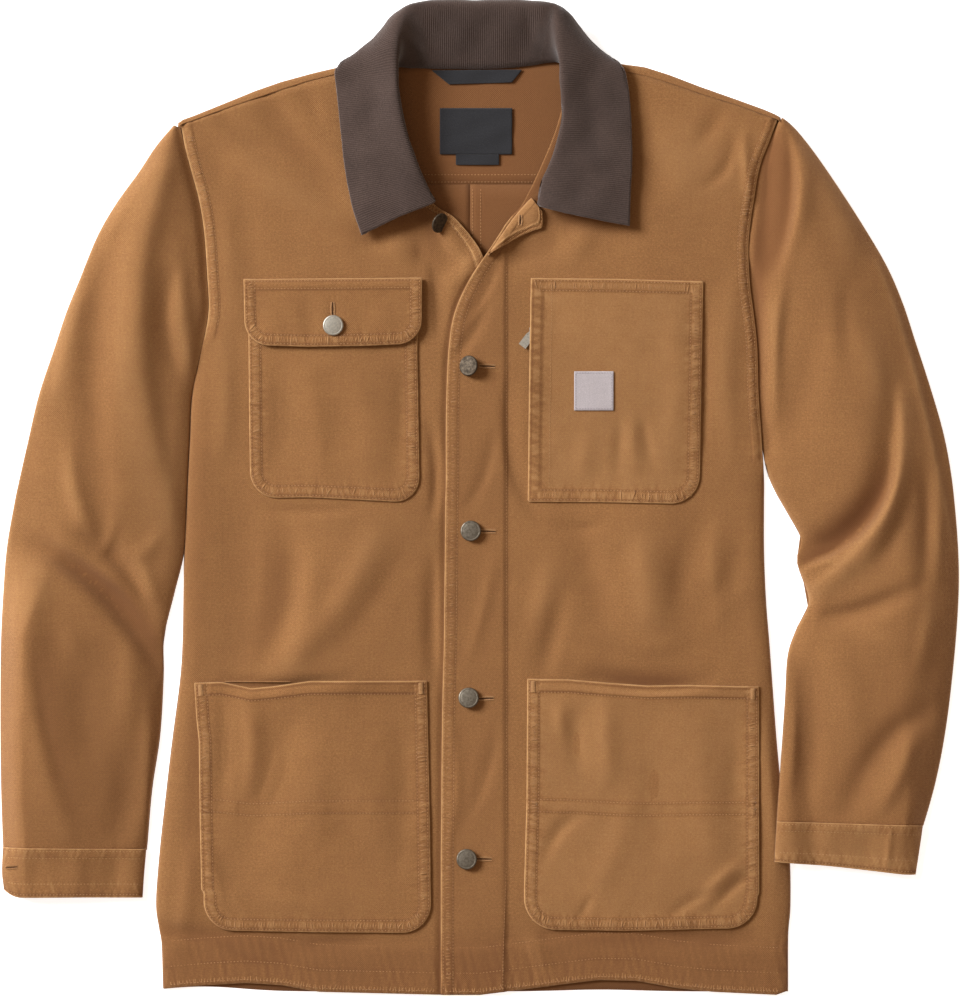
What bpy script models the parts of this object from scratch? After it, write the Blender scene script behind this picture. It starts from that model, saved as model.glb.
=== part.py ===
"""Chore jacket laid flat on its back, each cut piece a closed wall of its own.

Metres, +Z up. The jacket lies on z = 0 with its collar towards +Y. Left and right are the wearer's,
so the wearer's right is at -X. Sizes and tables below are in millimetres.
"""

import math

import bmesh
import bpy
import numpy as np
from mathutils import Matrix, Vector
from mathutils.bvhtree import BVHTree

MM = 0.001

# Driving sizes
CLOTH = 1.2  # one layer of duck canvas
CORDUROY = 2.0  # the collar's two layers
TRIM = 0.7  # tapes and labels
GAP = 0.35  # between pieces at a seam or one on another
LOFT = 6.0  # top of the fronts where they lie on the back
ROLL = 8.0  # width of the turn at an open edge
ROLL_SHARE = 0.4  # the turn's largest share of a short row
TURN_STEP = 2.0  # first column in from an open edge
RIM = CLOTH + GAP  # where an upper panel's open edge meets the layer below it
PLACKET_FADE = (1.0, 0.6, 0.3, 0.0)  # share of the placket's lift in the rows up to the shoulder seam
POCKET_CORNER = 19.0
POCKET_MOUTH = 1.8  # how far a lower pocket's mouth stands off at its middle
BELOW_MOUTH = 0.35  # the next row's share of that
FLAP_WIDER = 3.0  # the flap passes the pocket by this much at each side
FLAP_HIGHER = 2.0
ARC_SHARE = 1 - math.sqrt(0.5)  # how far a rounded corner's middle moves in along each side
FOLD_STEPS = 25
YOKE_SEAM = 273.0
CENTRE_BACK = -8.5
BACK_HEM = -429.5
SHOULDER_TURN_STEPS = 5
NECK_HALF = 82.0  # the shoulder's turn ends here, under the collar
NECK_FADE = 12.0
NECK_COLUMNS = (-72.0, -50.0, -25.0, 0.0, 25.0, 50.0, 72.0)
SHOULDER_STRIP = 3.2  # least width of the yoke's turn
UNDER_SPOTS = (0.0, 0.08, 0.16, 0.25, 0.6, 1.0)  # columns of the under sleeve, shares of its width
SLEEVE_MIDDLE_COLUMNS = 7
CUFF_ARCH = 6.0
CUFF_TURN = 5.0
CUFF_STEP = 1.2
CUFF_CORNER_REACH = 16.0
LAP_RISE = LOFT + 0.9  # the left sleeve's end lies this much higher where it laps the body
LAP_WIDTH = 26.0
LAP_TOP = -106.0
LAP_FADE = 60.0
BUTTON_RADIUS = 8.9
SHANK_RADIUS = 3.5
BUTTON_SIDES = 16
TAPE_THICKNESS = 0.6
TAPE_CLEAR_X = 47.0  # the zip tape's height is read here for the slider
ZIP_COLUMN = 9.5  # second column of the zipped edge, in from the pocket's edge
PULL_LENGTH = 15.0
PULL_WIDTH = 7.4
PULL_THICKNESS = 0.8
PULL_THROAT = 4.0  # where the plate narrows towards the post
PULL_BACK = 2.6
PULL_BACK_HALF = 1.9
PULL_HOLE = 1.5  # half side of the square hole round the post
PULL_RISE = 1.85  # hinge axis above the slider's foot
PULL_TILT = math.radians(6)
PULL_AXIS_AT = (45.7, 143.8)
PULL_DIRECTION = (-0.61, -0.79)

# Fronts, a row for each section from the hem up to the shoulder seam:
# side x, side y, pocket's outer x, pocket's inner x, placket x, free edge x, free edge y,
# open (1 where the side turns down to the back, 0 where it is sewn to the sleeve)
RIGHT_FRONT = (
    (-275.8, -427.2, -242.7, -42.6, -33.9, 13.1, -431.5, 1.0),
    (-277.1, -388.9, -242.7, -42.6, -33.9, 13.1, -391.5, 1.0),
    (-279.3, -375.8, -242.7, -42.6, -33.9, 13.1, -377.6, 1.0),
    (-281.9, -354.1, -242.7, -42.6, -33.9, 13.1, -354.1, 1.0),
    (-278.8, -310.6, -243.2, -42.6, -33.9, 13.1, -310.6, 1.0),
    (-274.1, -267.1, -243.6, -43.5, -33.5, 13.1, -267.1, 1.0),
    (-268.0, -214.9, -244.9, -44.8, -33.1, 13.1, -214.9, 1.0),
    (-261.0, -160.9, -247.1, -46.1, -32.2, 13.1, -159.2, 1.0),
    (-258.8, -127.9, -236.6, -47.9, -31.3, 13.1, -127.9, 1.0),
    (-258.1, -88.7, -224.5, -48.7, -30.9, 13.1, -88.7, 1.0),
    (-257.3, -45.2, -210.5, -50.5, -30.4, 13.1, -45.2, 1.0),
    (-255.3, -3.5, -200.1, -52.2, -30.0, 13.1, -3.5, 1.0),
    (-254.5, 15.7, -200.1, -52.6, -29.6, 13.1, 15.7, 1.0),
    (-252.7, 50.5, -200.5, -53.1, -29.6, 13.1, 50.5, 1.0),
    (-250.6, 89.6, -201.0, -53.9, -29.1, 13.1, 89.6, 1.0),
    (-241.4, 132.2, -201.4, -54.4, -27.0, 12.2, 132.2, 0.6),
    (-236.2, 161.8, -201.8, -53.9, -21.8, 10.4, 161.8, 0.0),
    (-237.1, 189.7, -201.8, -53.1, -12.2, 7.8, 189.7, 0.0),
    (-240.1, 231.4, -205.3, -71.3, -34.8, 0.0, 215.8, 0.0),
    (-244.5, 259.3, -210.5, -87.0, -52.2, -20.9, 242.7, 0.0),
    (-251.4, 285.4, -215.8, -102.7, -71.3, -45.2, 261.9, 0.0),
    (-257.0, 307.1, -221.0, -117.5, -94.0, -73.1, 320.2, 0.0),
    (-260.0, 324.2, -226.0, -123.5, -99.2, -80.0, 373.2, 0.0),
)
LEFT_FRONT = (
    (268.0, -428.9, 241.0, 40.9, 13.1, -33.9, -432.4, 1.0),
    (268.0, -389.8, 241.0, 40.9, 13.1, -33.9, -391.5, 1.0),
    (268.4, -375.0, 241.0, 40.9, 13.1, -33.9, -377.6, 1.0),
    (270.1, -354.1, 241.9, 40.0, 13.1, -33.9, -354.1, 1.0),
    (269.3, -310.6, 241.9, 40.0, 13.1, -33.9, -310.6, 1.0),
    (263.6, -267.1, 242.3, 40.5, 13.1, -33.5, -267.1, 1.0),
    (258.4, -214.9, 242.7, 40.9, 13.1, -33.1, -214.9, 1.0),
    (254.5, -163.6, 242.7, 40.9, 13.1, -32.2, -159.2, 1.0),
    (251.9, -127.9, 236.6, 40.9, 13.1, -31.3, -127.9, 1.0),
    (248.8, -88.7, 224.5, 41.3, 13.1, -30.9, -88.7, 1.0),
    (247.1, -45.2, 207.1, 41.8, 13.1, -30.4, -45.2, 1.0),
    (247.1, -3.5, 190.5, 41.8, 13.1, -30.0, -3.5, 1.0),
    (247.1, 15.7, 191.0, 41.8, 13.1, -29.6, 15.7, 1.0),
    (245.3, 50.5, 191.4, 42.6, 13.1, -29.6, 50.5, 0.0),
    (242.7, 89.6, 192.3, 43.1, 13.1, -29.1, 89.6, 0.0),
    (241.4, 132.2, 193.1, 43.5, 12.2, -27.0, 132.2, 0.0),
    (238.2, 161.8, 193.6, 43.9, 10.4, -21.8, 161.8, 0.0),
    (234.9, 188.8, 194.0, 44.4, 7.8, -9.1, 189.7, 0.0),
    (234.0, 224.5, 194.9, 52.2, 27.8, 10.4, 219.2, 0.0),
    (239.2, 263.6, 198.4, 62.6, 41.8, 25.2, 241.9, 0.0),
    (244.0, 289.7, 203.6, 76.6, 56.5, 40.0, 261.0, 0.0),
    (252.3, 311.5, 213.0, 95.7, 80.0, 66.1, 320.2, 0.0),
    (258.8, 329.0, 221.0, 109.6, 95.7, 80.0, 374.1, 0.0),
)
LOWER_POCKET_ROWS = (2, 7)
CHEST_POCKET_ROWS = (11, 17)
FLAP_ROWS = (15, 17)
UNDERARM_ROW = {"right": 10, "left": 13}

# The front hem's edge, x and y: it lifts off the back's hem in two places
HEM_LINE = (
    (-276, -427.2), (-240, -424.0), (-204, -422.0), (-173, -424.0), (-140, -429.8), (-70, -431.5),
    (-34, -432.4), (0, -432.4), (35, -428.0), (70, -423.5), (103, -419.5), (136, -420.2),
    (170, -426.3), (203, -429.8), (258, -432.4), (268, -428.9),
)

# Sleeve caps, a row for each section of the armhole from the shoulder down: outer x, outer y, arch
RIGHT_CAP = (
    (-278.4, 306.2, 3.0), (-297.5, 282.8, 6.0), (-316.7, 256.6, 8.0), (-333.2, 227.9, 9.0),
    (-348.9, 189.7, 10.0), (-360.2, 161.8, 10.0), (-370.6, 130.5, 10.0), (-384.1, 89.6, 10.0),
    (-392.8, 48.7, 10.0), (-399.3, 13.9, 10.0), (-403.2, -5.2, 10.0), (-410.6, -43.5, 10.0),
)
LEFT_CAP = (
    (274.1, 321.9, 3.0), (288.8, 305.4, 6.0), (307.1, 278.4, 8.0), (332.3, 238.4, 9.0),
    (353.2, 200.1, 10.0), (366.3, 169.7, 10.0), (378.4, 137.5, 10.0), (392.4, 95.7, 10.0),
    (405.9, 54.8, 10.0),
)
# Sleeves below the armhole: outer x, outer y, inner x, inner y, arch
RIGHT_ARM = (
    (-414.1, -84.4, -266.2, -81.8, 10.0), (-415.9, -120.9, -275.4, -120.9, 10.0),
    (-416.5, -160.9, -275.8, -154.9, 10.0), (-416.5, -206.2, -278.8, -206.2, 10.0),
    (-415.9, -254.0, -285.8, -254.0, 9.0), (-415.4, -304.5, -290.3, -306.2, 8.0),
)
LEFT_ARM = (
    (410.2, 20.9, 249.4, 26.1, 10.0), (412.8, -12.2, 256.6, 7.0, 10.0),
    (415.7, -43.5, 269.4, -15.7, 10.0), (416.3, -69.6, 279.6, -35.6, 10.0),
    (415.4, -95.7, 276.4, -56.0, 10.0), (413.2, -126.2, 286.2, -89.6, 10.0),
    (409.8, -160.9, 275.8, -114.0, 10.0), (406.3, -188.8, 268.0, -137.5, 10.0),
    (401.9, -221.0, 265.4, -175.7, 10.0), (395.0, -249.7, 262.7, -214.9, 10.0),
    (390.6, -268.0, 260.1, -254.0, 9.0), (386.1, -285.4, 258.0, -281.9, 8.0),
)
# Shoulder points, outer x, outer y, inner x, inner y
SHOULDER_POINT = {"right": (-265.0, 324.5, -261.0, 322.0), "left": (263.8, 331.0, 260.0, 327.5)}
# Cuffs, a row for each section from the seam down: outer x, outer y, inner x, inner y
RIGHT_CUFF = (
    (-415.6, -305.0, -290.4, -306.7), (-416.5, -325.0, -292.2, -326.0), (-414.9, -347.2, -293.6, -347.4)
)
LEFT_CUFF = (
    (385.9, -286.0, 257.9, -282.5), (383.0, -305.0, 256.6, -300.0), (379.6, -328.0, 255.9, -316.0)
)
CUFF_CORNER = {"right": 7.0, "left": 1.0}  # how much the outer corner is rounded off

# Shoulder line, x, silhouette y, seam y: the yoke turns over the silhouette and ends at the seam
SHOULDER_LINE = (
    (-263, 326.5, 323.5), (-249, 331.5, 328.2), (-218, 344.0, 339.5), (-196, 353.0, 347.0),
    (-173, 361.0, 354.6), (-151, 367.0, 361.8), (-124, 374.4, 368.5), (-99, 376.5, 371.5),
    (-72, 375.2, 374.0), (0, 374.2, 373.0), (71, 378.8, 377.0), (99, 377.5, 372.5),
    (122, 377.6, 370.8), (143, 374.0, 367.0), (165, 367.0, 360.5), (191, 357.0, 351.5),
    (225, 345.0, 341.0), (247, 337.0, 333.0), (261, 331.0, 328.0),
)

# Largest folds: start x, y, middle x, y, end x, y, half width, height (below 0 for a trough)
FOLDS = (
    (-280, 278, -293, 233, -322, 134, 14, 3.5),
    (-336, 117, -329, 48, -322, -36, 20, -3.0),
    (-322, -41, -300, -36, -278, -32, 8, -3.0),
    (-391, 39, -365, -54, -289, -117, 18, -6.5),
    (-345, -124, -368, -215, -335, -295, 32, -4.5),
    (-402, -60, -409, -176, -402, -295, 12, 2.5),
    (276, -54, 322, -42, 356, 72, 19, -6.5),
    (286, -90, 314, -63, 336, -5, 13, 4.5),
    (300, -80, 357, -54, 392, 24, 19, 3.0),
    (352, -124, 370, -176, 378, -228, 17, -3.0),
    (253, 300, 251, 190, 254, 85, 8, 2.5),
    (-174, -18, -167, -94, -204, -150, 19, -2.4),
    (-140, -50, -148, -106, -165, -150, 17, 2.0),
    (96, -18, 98, -67, 114, -117, 19, -2.2),
    (170, -24, 183, -80, 191, -137, 19, -2.0),
    (139, -10, 144, -67, 148, -132, 17, 2.0),
    (-201, -176, -190, -219, -165, -265, 14, -2.2),
    (196, -350, 205, -320, 200, -280, 14, -2.0),
    (-30, 170, -8, 200, 35, 250, 10, 2.5),
)

# Collar, a row for each section from the front end to the back: seam x, y, z, roll x, y, z,
# shoulder x, y, z, outer edge x, y, z, all at the middle of the cloth
RIGHT_COLLAR = (
    (-47.0, 259.3, 7.8, -40.0, 256.6, 12.0, -69.6, 244.5, 9.8, -102.7, 228.8, 8.0),
    (-53.9, 271.4, 7.8, -47.9, 271.4, 14.0, -80.0, 262.7, 10.5, -110.5, 253.2, 8.0),
    (-65.2, 294.1, 7.8, -57.4, 291.4, 16.0, -87.9, 287.1, 11.0, -116.6, 283.6, 8.0),
    (-76.6, 320.2, 7.8, -66.1, 318.4, 17.5, -94.8, 315.8, 11.5, -120.1, 313.2, 8.2),
    (-81.0, 343.6, 7.8, -71.3, 342.8, 18.5, -98.3, 341.0, 12.0, -122.7, 339.3, 8.4),
    (-80.5, 360.2, 7.8, -73.1, 365.4, 19.0, -100.9, 363.7, 12.0, -124.8, 358.4, 8.8),
    (-72.2, 375.0, 5.4, -74.4, 389.8, 19.5, -103.5, 380.0, 12.5, -124.5, 374.0, 9.0),
    (-59.2, 375.0, 3.0, -71.3, 410.6, 20.0, -94.7, 398.0, 11.0, -108.7, 384.3, 4.5),
    (-41.8, 374.1, 2.8, -58.5, 425.0, 19.0, -78.0, 413.0, 8.0, -74.8, 389.8, 1.2),
    (-21.8, 374.1, 2.8, -32.2, 425.5, 17.5, -34.8, 426.0, 7.0, -30.4, 386.3, 1.2),
)
LEFT_COLLAR = (
    (54.8, 259.3, 7.8, 53.1, 253.2, 12.0, 88.7, 244.5, 9.8, 129.6, 236.6, 8.0),
    (57.4, 271.4, 7.8, 54.8, 270.6, 14.0, 95.7, 268.0, 10.5, 130.5, 264.5, 8.0),
    (69.0, 294.1, 7.8, 64.4, 294.1, 16.0, 100.0, 294.1, 11.0, 131.8, 292.3, 8.0),
    (79.0, 320.2, 7.8, 71.3, 320.2, 17.5, 102.7, 320.2, 11.5, 131.4, 318.4, 8.2),
    (82.5, 343.6, 7.8, 72.2, 344.5, 18.5, 103.5, 343.6, 12.0, 130.1, 342.8, 8.4),
    (80.5, 360.2, 7.8, 71.3, 367.1, 19.0, 104.4, 364.5, 12.0, 127.9, 360.2, 8.8),
    (71.3, 377.4, 5.4, 69.6, 389.8, 19.5, 104.4, 382.0, 12.5, 123.0, 376.0, 9.0),
    (59.2, 379.2, 3.0, 67.0, 412.4, 20.0, 93.4, 399.0, 11.0, 107.6, 385.0, 4.5),
    (41.8, 376.6, 2.8, 60.0, 425.5, 19.0, 77.6, 414.5, 8.0, 74.8, 390.6, 1.2),
    (21.8, 374.6, 2.8, 32.2, 425.5, 17.5, 34.8, 426.0, 7.0, 30.4, 386.3, 1.2),
)
BACK_COLLAR = ((0.0, 374.1, 2.8, 0.0, 425.5, 17.0, 0.0, 425.5, 6.0, 0.0, 385.4, 1.2),)

# Turned-out facing, a row for each section from the corner up: fold x, y, free edge x, y
FACING = (
    (6.5, 211.0, 9.0, 212.6), (13.5, 221.5, 21.0, 219.5), (23.5, 236.0, 34.0, 227.0),
    (32.0, 247.5, 46.5, 232.5), (40.0, 256.5, 54.2, 236.0), (44.5, 261.0, 54.5, 249.0),
)

# Buttons: x, y, and the pieces that each one lies on
BUTTONS = {
    "button_1": (-36.5, 240.0, "front_right"),
    "button_2": (-8.7, 114.8, "front_left"),
    "button_3": (-7.8, -28.7, "front_left"),
    "button_4": (-9.6, -174.0, "front_left"),
    "button_5": (-11.3, -314.1, "front_left"),
    "flap_button": (-127.5, 150.0, "chest_flap"),
}
# A button's profile, radius and height: shank, back, rim, dished face
BUTTON_PROFILE = (
    (0.0, 0.0), (SHANK_RADIUS, 0.0), (SHANK_RADIUS, 1.4), (BUTTON_RADIUS, 1.8),
    (BUTTON_RADIUS, 3.1), (7.4, 4.0), (0.0, 3.4),
)

# Trim that lies on the inside of the yoke: four corners each, x and y
TAPES = {
    "hanger_loop": ((-41.8, 372.2), (36.6, 372.8), (27.8, 361.9), (-27.0, 360.2)),
    "neck_label": ((-34.8, 339.3), (28.0, 339.3), (27.8, 299.3), (-34.8, 299.3)),
    "size_tab": ((-20.9, 298.9), (16.5, 298.9), (16.5, 290.1), (-20.9, 290.1)),
}
PATCH = ((82.0, 110.0), (116.0, 110.0), (116.0, 76.2), (82.0, 76.2))
ZIP_TAPE = ((45.5, 178.0), (52.0, 178.0), (52.0, 60.0), (45.5, 60.0))
# How far the left chest pocket's front edge stands off the front over the zip, from its bottom up
ZIP_GAPE = (0.0, 0.6, 1.6, 3.0, 4.5, 4.5, 1.6)
ZIP_GAPE_SECOND = 0.95  # the next column's share of that
# Slider: part, size x, y, z, height of its middle above the foot
SLIDER_PARTS = (
    ("plate", (5.6, 9.0, 0.8), 0.4), ("post", (1.0, 1.0, 2.0), 1.6), ("cap", (2.8, 2.8, 0.4), 2.7),
)


def look(name, colour, roughness, metallic=0.0):
    """A Principled material; colour is linear red, green, blue."""
    material = bpy.data.materials.new(name)
    material.use_nodes = True
    shader = material.node_tree.nodes["Principled BSDF"]
    shader.inputs["Base Color"].default_value = (*colour, 1.0)
    shader.inputs["Roughness"].default_value = roughness
    shader.inputs["Metallic"].default_value = metallic
    material.diffuse_color = (*colour, 1.0)
    return material


def add_object(name, points, faces, material):
    """An object from points in millimetres. Faces are turned round if they enclose a negative volume."""
    corners = np.asarray(points, float) * MM
    faces = np.asarray(faces)
    volume = np.einsum("ij,ij->", np.cross(corners[faces[:, 0]], corners[faces[:, 1]]), corners[faces[:, 2]])
    if volume < 0:
        faces = faces[:, ::-1]
    mesh = bpy.data.meshes.new(name)
    mesh.from_pydata(corners.tolist(), [], faces.tolist())
    mesh.materials.append(material)
    mesh.shade_smooth()
    mesh.set_sharp_from_angle(angle=math.radians(40))
    made = bpy.data.objects.new(name, mesh)
    bpy.context.scene.collection.objects.link(made)
    return made


def wall(name, top, bottom, material, ring=False):
    """A closed wall between two grids of points. A ring joins the last column to the first."""
    rows, columns = top.shape[:2]
    index = np.arange(rows * columns).reshape(rows, columns)
    if ring:
        index = np.concatenate([index, index[:, :1]], axis=1)
    a, b, c, d = index[:-1, :-1], index[1:, :-1], index[1:, 1:], index[:-1, 1:]
    upper = np.stack([a, b, c, a, c, d], axis=-1).reshape(-1, 3)
    lower = upper[:, ::-1] + rows * columns
    rim = [index[0, ::-1], index[-1]]
    if not ring:
        rim += [index[:, 0], index[::-1, -1]]
    faces = [upper, lower]
    for line in rim:
        first, second = line[:-1], line[1:]
        under_first, under_second = first + rows * columns, second + rows * columns
        faces.append(np.stack([first, under_first, under_second], axis=-1))
        faces.append(np.stack([first, under_second, second], axis=-1))
    points = np.concatenate([top.reshape(-1, 3), bottom.reshape(-1, 3)])
    return add_object(name, points, np.concatenate(faces), material)


def fold_rise(x, y):
    """Sum over the folds of height * taper * exp(-(distance / half width)^2), nearest arc point taken."""
    rise = np.zeros(np.shape(x))
    t = np.linspace(0, 1, FOLD_STEPS)
    taper = np.sin(np.pi * (0.12 + 0.76 * t))
    for x0, y0, x1, y1, x2, y2, width, height in FOLDS:
        arc_x = (1 - t) ** 2 * x0 + 2 * t * (1 - t) * (2 * x1 - (x0 + x2) / 2) + t**2 * x2
        arc_y = (1 - t) ** 2 * y0 + 2 * t * (1 - t) * (2 * y1 - (y0 + y2) / 2) + t**2 * y2
        square = (x[..., None] - arc_x) ** 2 + (y[..., None] - arc_y) ** 2
        rise += height * (taper * np.exp(-square / width**2)).max(axis=-1)
    return rise


def laid_panel(starts, ends, spots, arch, open_starts, open_ends, lift=None):
    """Top and bottom points of a panel whose rows run in plan from start to end.

    spots holds each column's share of its row. With d the distance from an open edge,
    c = max(0, 1 - d / ROLL) and e = sqrt(1 - c^2): the top comes down from its height by the share
    1 - e and the wall turns by c, a quarter of an ellipse down to the layer below.
    """
    run = ends - starts
    length = np.hypot(run[:, 0], run[:, 1])[:, None]
    unit = (run / length)[:, None, :]
    plan = starts[:, None, :] + run[:, None, :] * spots[..., None]
    reach = np.minimum(ROLL, ROLL_SHARE * length)
    turn_start = open_starts[:, None] * np.clip(1 - spots * length / reach, 0, 1)
    turn_end = open_ends[:, None] * np.clip(1 - (1 - spots) * length / reach, 0, 1)
    turn = np.maximum(turn_start, turn_end)
    upright = np.sqrt(1 - turn**2)
    raised = lift(plan[..., 0], plan[..., 1]) if lift else np.zeros(spots.shape)
    height = LOFT + arch[:, None] * np.sin(np.pi * spots) + fold_rise(plan[..., 0], plan[..., 1])
    top_z = raised + height - (height - RIM) * (1 - upright)
    inward = unit * (turn_start - turn_end)[..., None] * CLOTH
    top = np.concatenate([plan, top_z[..., None]], axis=-1)
    bottom = np.concatenate([plan + inward, (top_z - CLOTH * upright)[..., None]], axis=-1)
    return top, bottom


def front_spots(rows, zipped):
    """Shares of the row for each column: the turn, the pocket's edges and corners, the placket."""
    side, outer, inner, placket, edge = (rows[:, k] for k in (0, 2, 3, 4, 5))
    way = np.sign(edge - side)
    first = outer + way * POCKET_CORNER
    last = inner - way * POCKET_CORNER
    lines = [side, side + way * TURN_STEP, side + way * ROLL, (side + way * ROLL + outer) / 2, outer, first]
    lines += [first + (last - first) * share for share in (0.25, 0.5, 0.75)]
    lines += [last, inner - way * ZIP_COLUMN] if zipped else [last]
    lines += [inner, placket, edge]
    return (np.stack(lines, axis=1) - side[:, None]) / (edge - side)[:, None]


def front_panel(table, zipped):
    rows = np.array(table)
    spots = front_spots(rows, zipped)
    shut = np.zeros(len(rows))
    top, bottom = laid_panel(rows[:, 0:2], rows[:, 5:7], spots, shut, rows[:, 7], shut)
    hem_x, hem_y = np.array(HEM_LINE).T
    shoulder = np.array(SHOULDER_LINE)
    for layer in (top, bottom):
        layer[0, :, 1] = np.interp(layer[0, :, 0], hem_x, hem_y)
        layer[-1, :, 1] = np.interp(layer[-1, :, 0], shoulder[:, 0], shoulder[:, 2])
    return top, bottom


def raise_placket(top, bottom):
    """Lifts the left front's last two columns by a layer, where it laps the right front."""
    lap = np.zeros(top.shape[:2])
    lap[:, -2:] = CLOTH + GAP
    lap[-len(PLACKET_FADE) :, -2:] *= np.array(PLACKET_FADE)[:, None]
    top[..., 2] += lap
    bottom[..., 2] += lap


def shifted(layer, distance):
    moved = layer.copy()
    moved[..., 2] += distance
    return moved


def round_corner(block, row, column):
    """Moves a corner point in by ARC_SHARE of the corner's size along both sides."""
    row_next = row + 1 if row == 0 else row - 1
    column_next = column + 1 if column == 0 else column - 1
    corner = block[row, column].copy()
    along = block[row, column_next] - corner
    up = block[row_next, column] - corner
    block[row, column] = (
        corner
        + along * ARC_SHARE * POCKET_CORNER / np.hypot(along[0], along[1])
        + up * ARC_SHARE * POCKET_CORNER / np.hypot(up[0], up[1])
    )


def patch_on(panel_top, rows, columns):
    """The points of a piece one layer above a block of a panel's points, lower corners rounded."""
    block = shifted(panel_top[rows[0] : rows[1] + 1, columns[0] : columns[1] + 1], GAP + CLOTH)
    round_corner(block, 0, 0)
    round_corner(block, 0, block.shape[1] - 1)
    return block


def pocket(name, block, material, mouth=0.0):
    """A patch pocket; its mouth stands off the front by the given height at the middle."""
    share = np.linspace(0, 1, block.shape[1])
    block[-1, :, 2] += mouth * np.sin(np.pi * share)
    block[-2, :, 2] += BELOW_MOUTH * mouth * np.sin(np.pi * share)
    return wall(name, block, shifted(block, -CLOTH), material)


def surface_under(names):
    """Trees of the named objects' faces, in millimetres, to drop points onto."""
    trees = []
    for name in names:
        mesh = bpy.data.objects[name].data
        points = [vertex.co / MM for vertex in mesh.vertices]
        trees.append(BVHTree.FromPolygons(points, [tuple(face.vertices) for face in mesh.polygons]))
    return trees


def rest_height(trees, x, y):
    """Height of the highest face straight below a point far above (x, y)."""
    found = [tree.ray_cast(Vector((x, y, 100.0)), Vector((0, 0, -1)))[0] for tree in trees]
    return max(hit.z for hit in found if hit)


def four_sided(corners, count):
    """A count by count grid between four corners given in order round the piece."""
    share = np.linspace(0, 1, count)
    first, second, third, fourth = (np.array(corner) for corner in corners)
    left = fourth + (first - fourth) * share[:, None]
    right = third + (second - third) * share[:, None]
    return left[:, None, :] + (right - left)[:, None, :] * share[None, :, None]


def settled(name, plan, below, thickness, material, clear=GAP):
    """A wall that follows what lies below a grid of plan points."""
    trees = surface_under(below)
    z = np.array([[rest_height(trees, *point) for point in row] for row in plan]) + clear
    bottom = np.concatenate([plan, z[..., None]], axis=-1)
    return wall(name, shifted(bottom, thickness), bottom, material)


def sides(table, way):
    """The side edge of a front and of the back below it, moved off the seam by half a gap."""
    rows = np.array(table)
    return np.stack([rows[:, 0] - way * GAP / 2, rows[:, 1]], axis=1)


def back_panel(name, table, way, material):
    """A flat panel from the centre back seam to the side, from the hem to the yoke seam."""
    edge = sides(table, way)
    edge[0, 1] = BACK_HEM
    edge = edge[edge[:, 1] < YOKE_SEAM - 5]
    edge = np.concatenate([edge, [[yoke_edge(table, way)[0, 0], YOKE_SEAM - GAP / 2]]])
    centre = np.stack([np.full(len(edge), CENTRE_BACK + way * GAP / 2), edge[:, 1]], axis=1)
    spots = np.linspace(0, 1, 3)
    plan = centre[:, None, :] + (edge - centre)[:, None, :] * spots[None, :, None]
    bottom = np.concatenate([plan, np.zeros((*plan.shape[:2], 1))], axis=-1)
    return wall(name, shifted(bottom, CLOTH), bottom, material)


def yoke_edge(table, way):
    """The yoke's armhole edge on one side, from the yoke seam up to the shoulder point."""
    edge = sides(table, way)
    seam_x = np.interp(YOKE_SEAM, edge[-5:, 1], edge[-5:, 0])
    top = edge[-1] - (0, SHOULDER_STRIP)
    return np.array([[seam_x, YOKE_SEAM + GAP / 2], edge[-3], edge[-2], top])


def back_yoke(right_seam_x, left_seam_x, material):
    """The yoke: flat on the surface, turned over at the shoulders, ending flat along the neck.

    Its columns are those of the fronts' shoulder seams. At each one the section runs up the back to
    the shoulder, then round half an ellipse as wide as twice the strip that shows in front and as
    high as the fronts' loft.
    """
    line = np.array(SHOULDER_LINE)
    ends = (yoke_edge(RIGHT_FRONT, -1), yoke_edge(LEFT_FRONT, 1))
    columns = np.concatenate([right_seam_x, np.array(NECK_COLUMNS), left_seam_x[::-1]])
    columns[0], columns[-1] = ends[0][-1, 0], ends[1][-1, 0]
    across = (columns - columns[0]) / (columns[-1] - columns[0])
    crest = np.interp(columns, line[:, 0], line[:, 1])
    seam = np.interp(columns, line[:, 0], line[:, 2]) + GAP
    strip = np.maximum(crest - seam, SHOULDER_STRIP)
    turned = np.clip((np.abs(columns) - NECK_HALF) / NECK_FADE, 0, 1)
    angles = np.linspace(-90, 90, SHOULDER_TURN_STEPS + 1)
    outside, inside = [], []
    for depth, found in ((0.0, outside), (CLOTH, inside)):
        for right, left in zip(*ends):
            right_share = (right[1] - YOKE_SEAM) / (ends[0][-1, 1] - YOKE_SEAM)
            left_share = (left[1] - YOKE_SEAM) / (ends[1][-1, 1] - YOKE_SEAM)
            share = right_share + (left_share - right_share) * across
            scale = np.where(columns < 0, right[0] / columns[0], left[0] / columns[-1])
            y = YOKE_SEAM + (crest - strip - YOKE_SEAM) * share
            found.append(np.stack([columns * scale, y, np.full(len(columns), depth)], axis=1))
        for step, angle in enumerate(np.radians(angles[1:]), start=1):
            rise = LOFT / 2
            y_turned = crest - strip + (strip - depth) * math.cos(angle)
            y_turned += (seam - crest + strip) * step / SHOULDER_TURN_STEPS
            z_turned = rise + (rise - depth) * math.sin(angle)
            y_flat = crest - strip + strip * step / SHOULDER_TURN_STEPS
            y = y_flat + (y_turned - y_flat) * turned
            z = depth + (z_turned - depth) * turned
            found.append(np.stack([columns, y, z], axis=1))
    return wall("back_yoke", np.array(inside), np.array(outside), material)


def cuff_lap(x, y):
    """Lift of the left sleeve's end, which laps the side of the body: a smooth step over LAP_WIDTH."""
    edge = np.array(LEFT_FRONT)[:, :2]
    body = np.interp(y, edge[:, 1], edge[:, 0])
    near = np.clip(1 - (x - body) / LAP_WIDTH, 0, 1)
    low = np.clip((LAP_TOP - y) / LAP_FADE, 0, 1)
    return LAP_RISE * smooth(near) * smooth(low)


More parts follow.
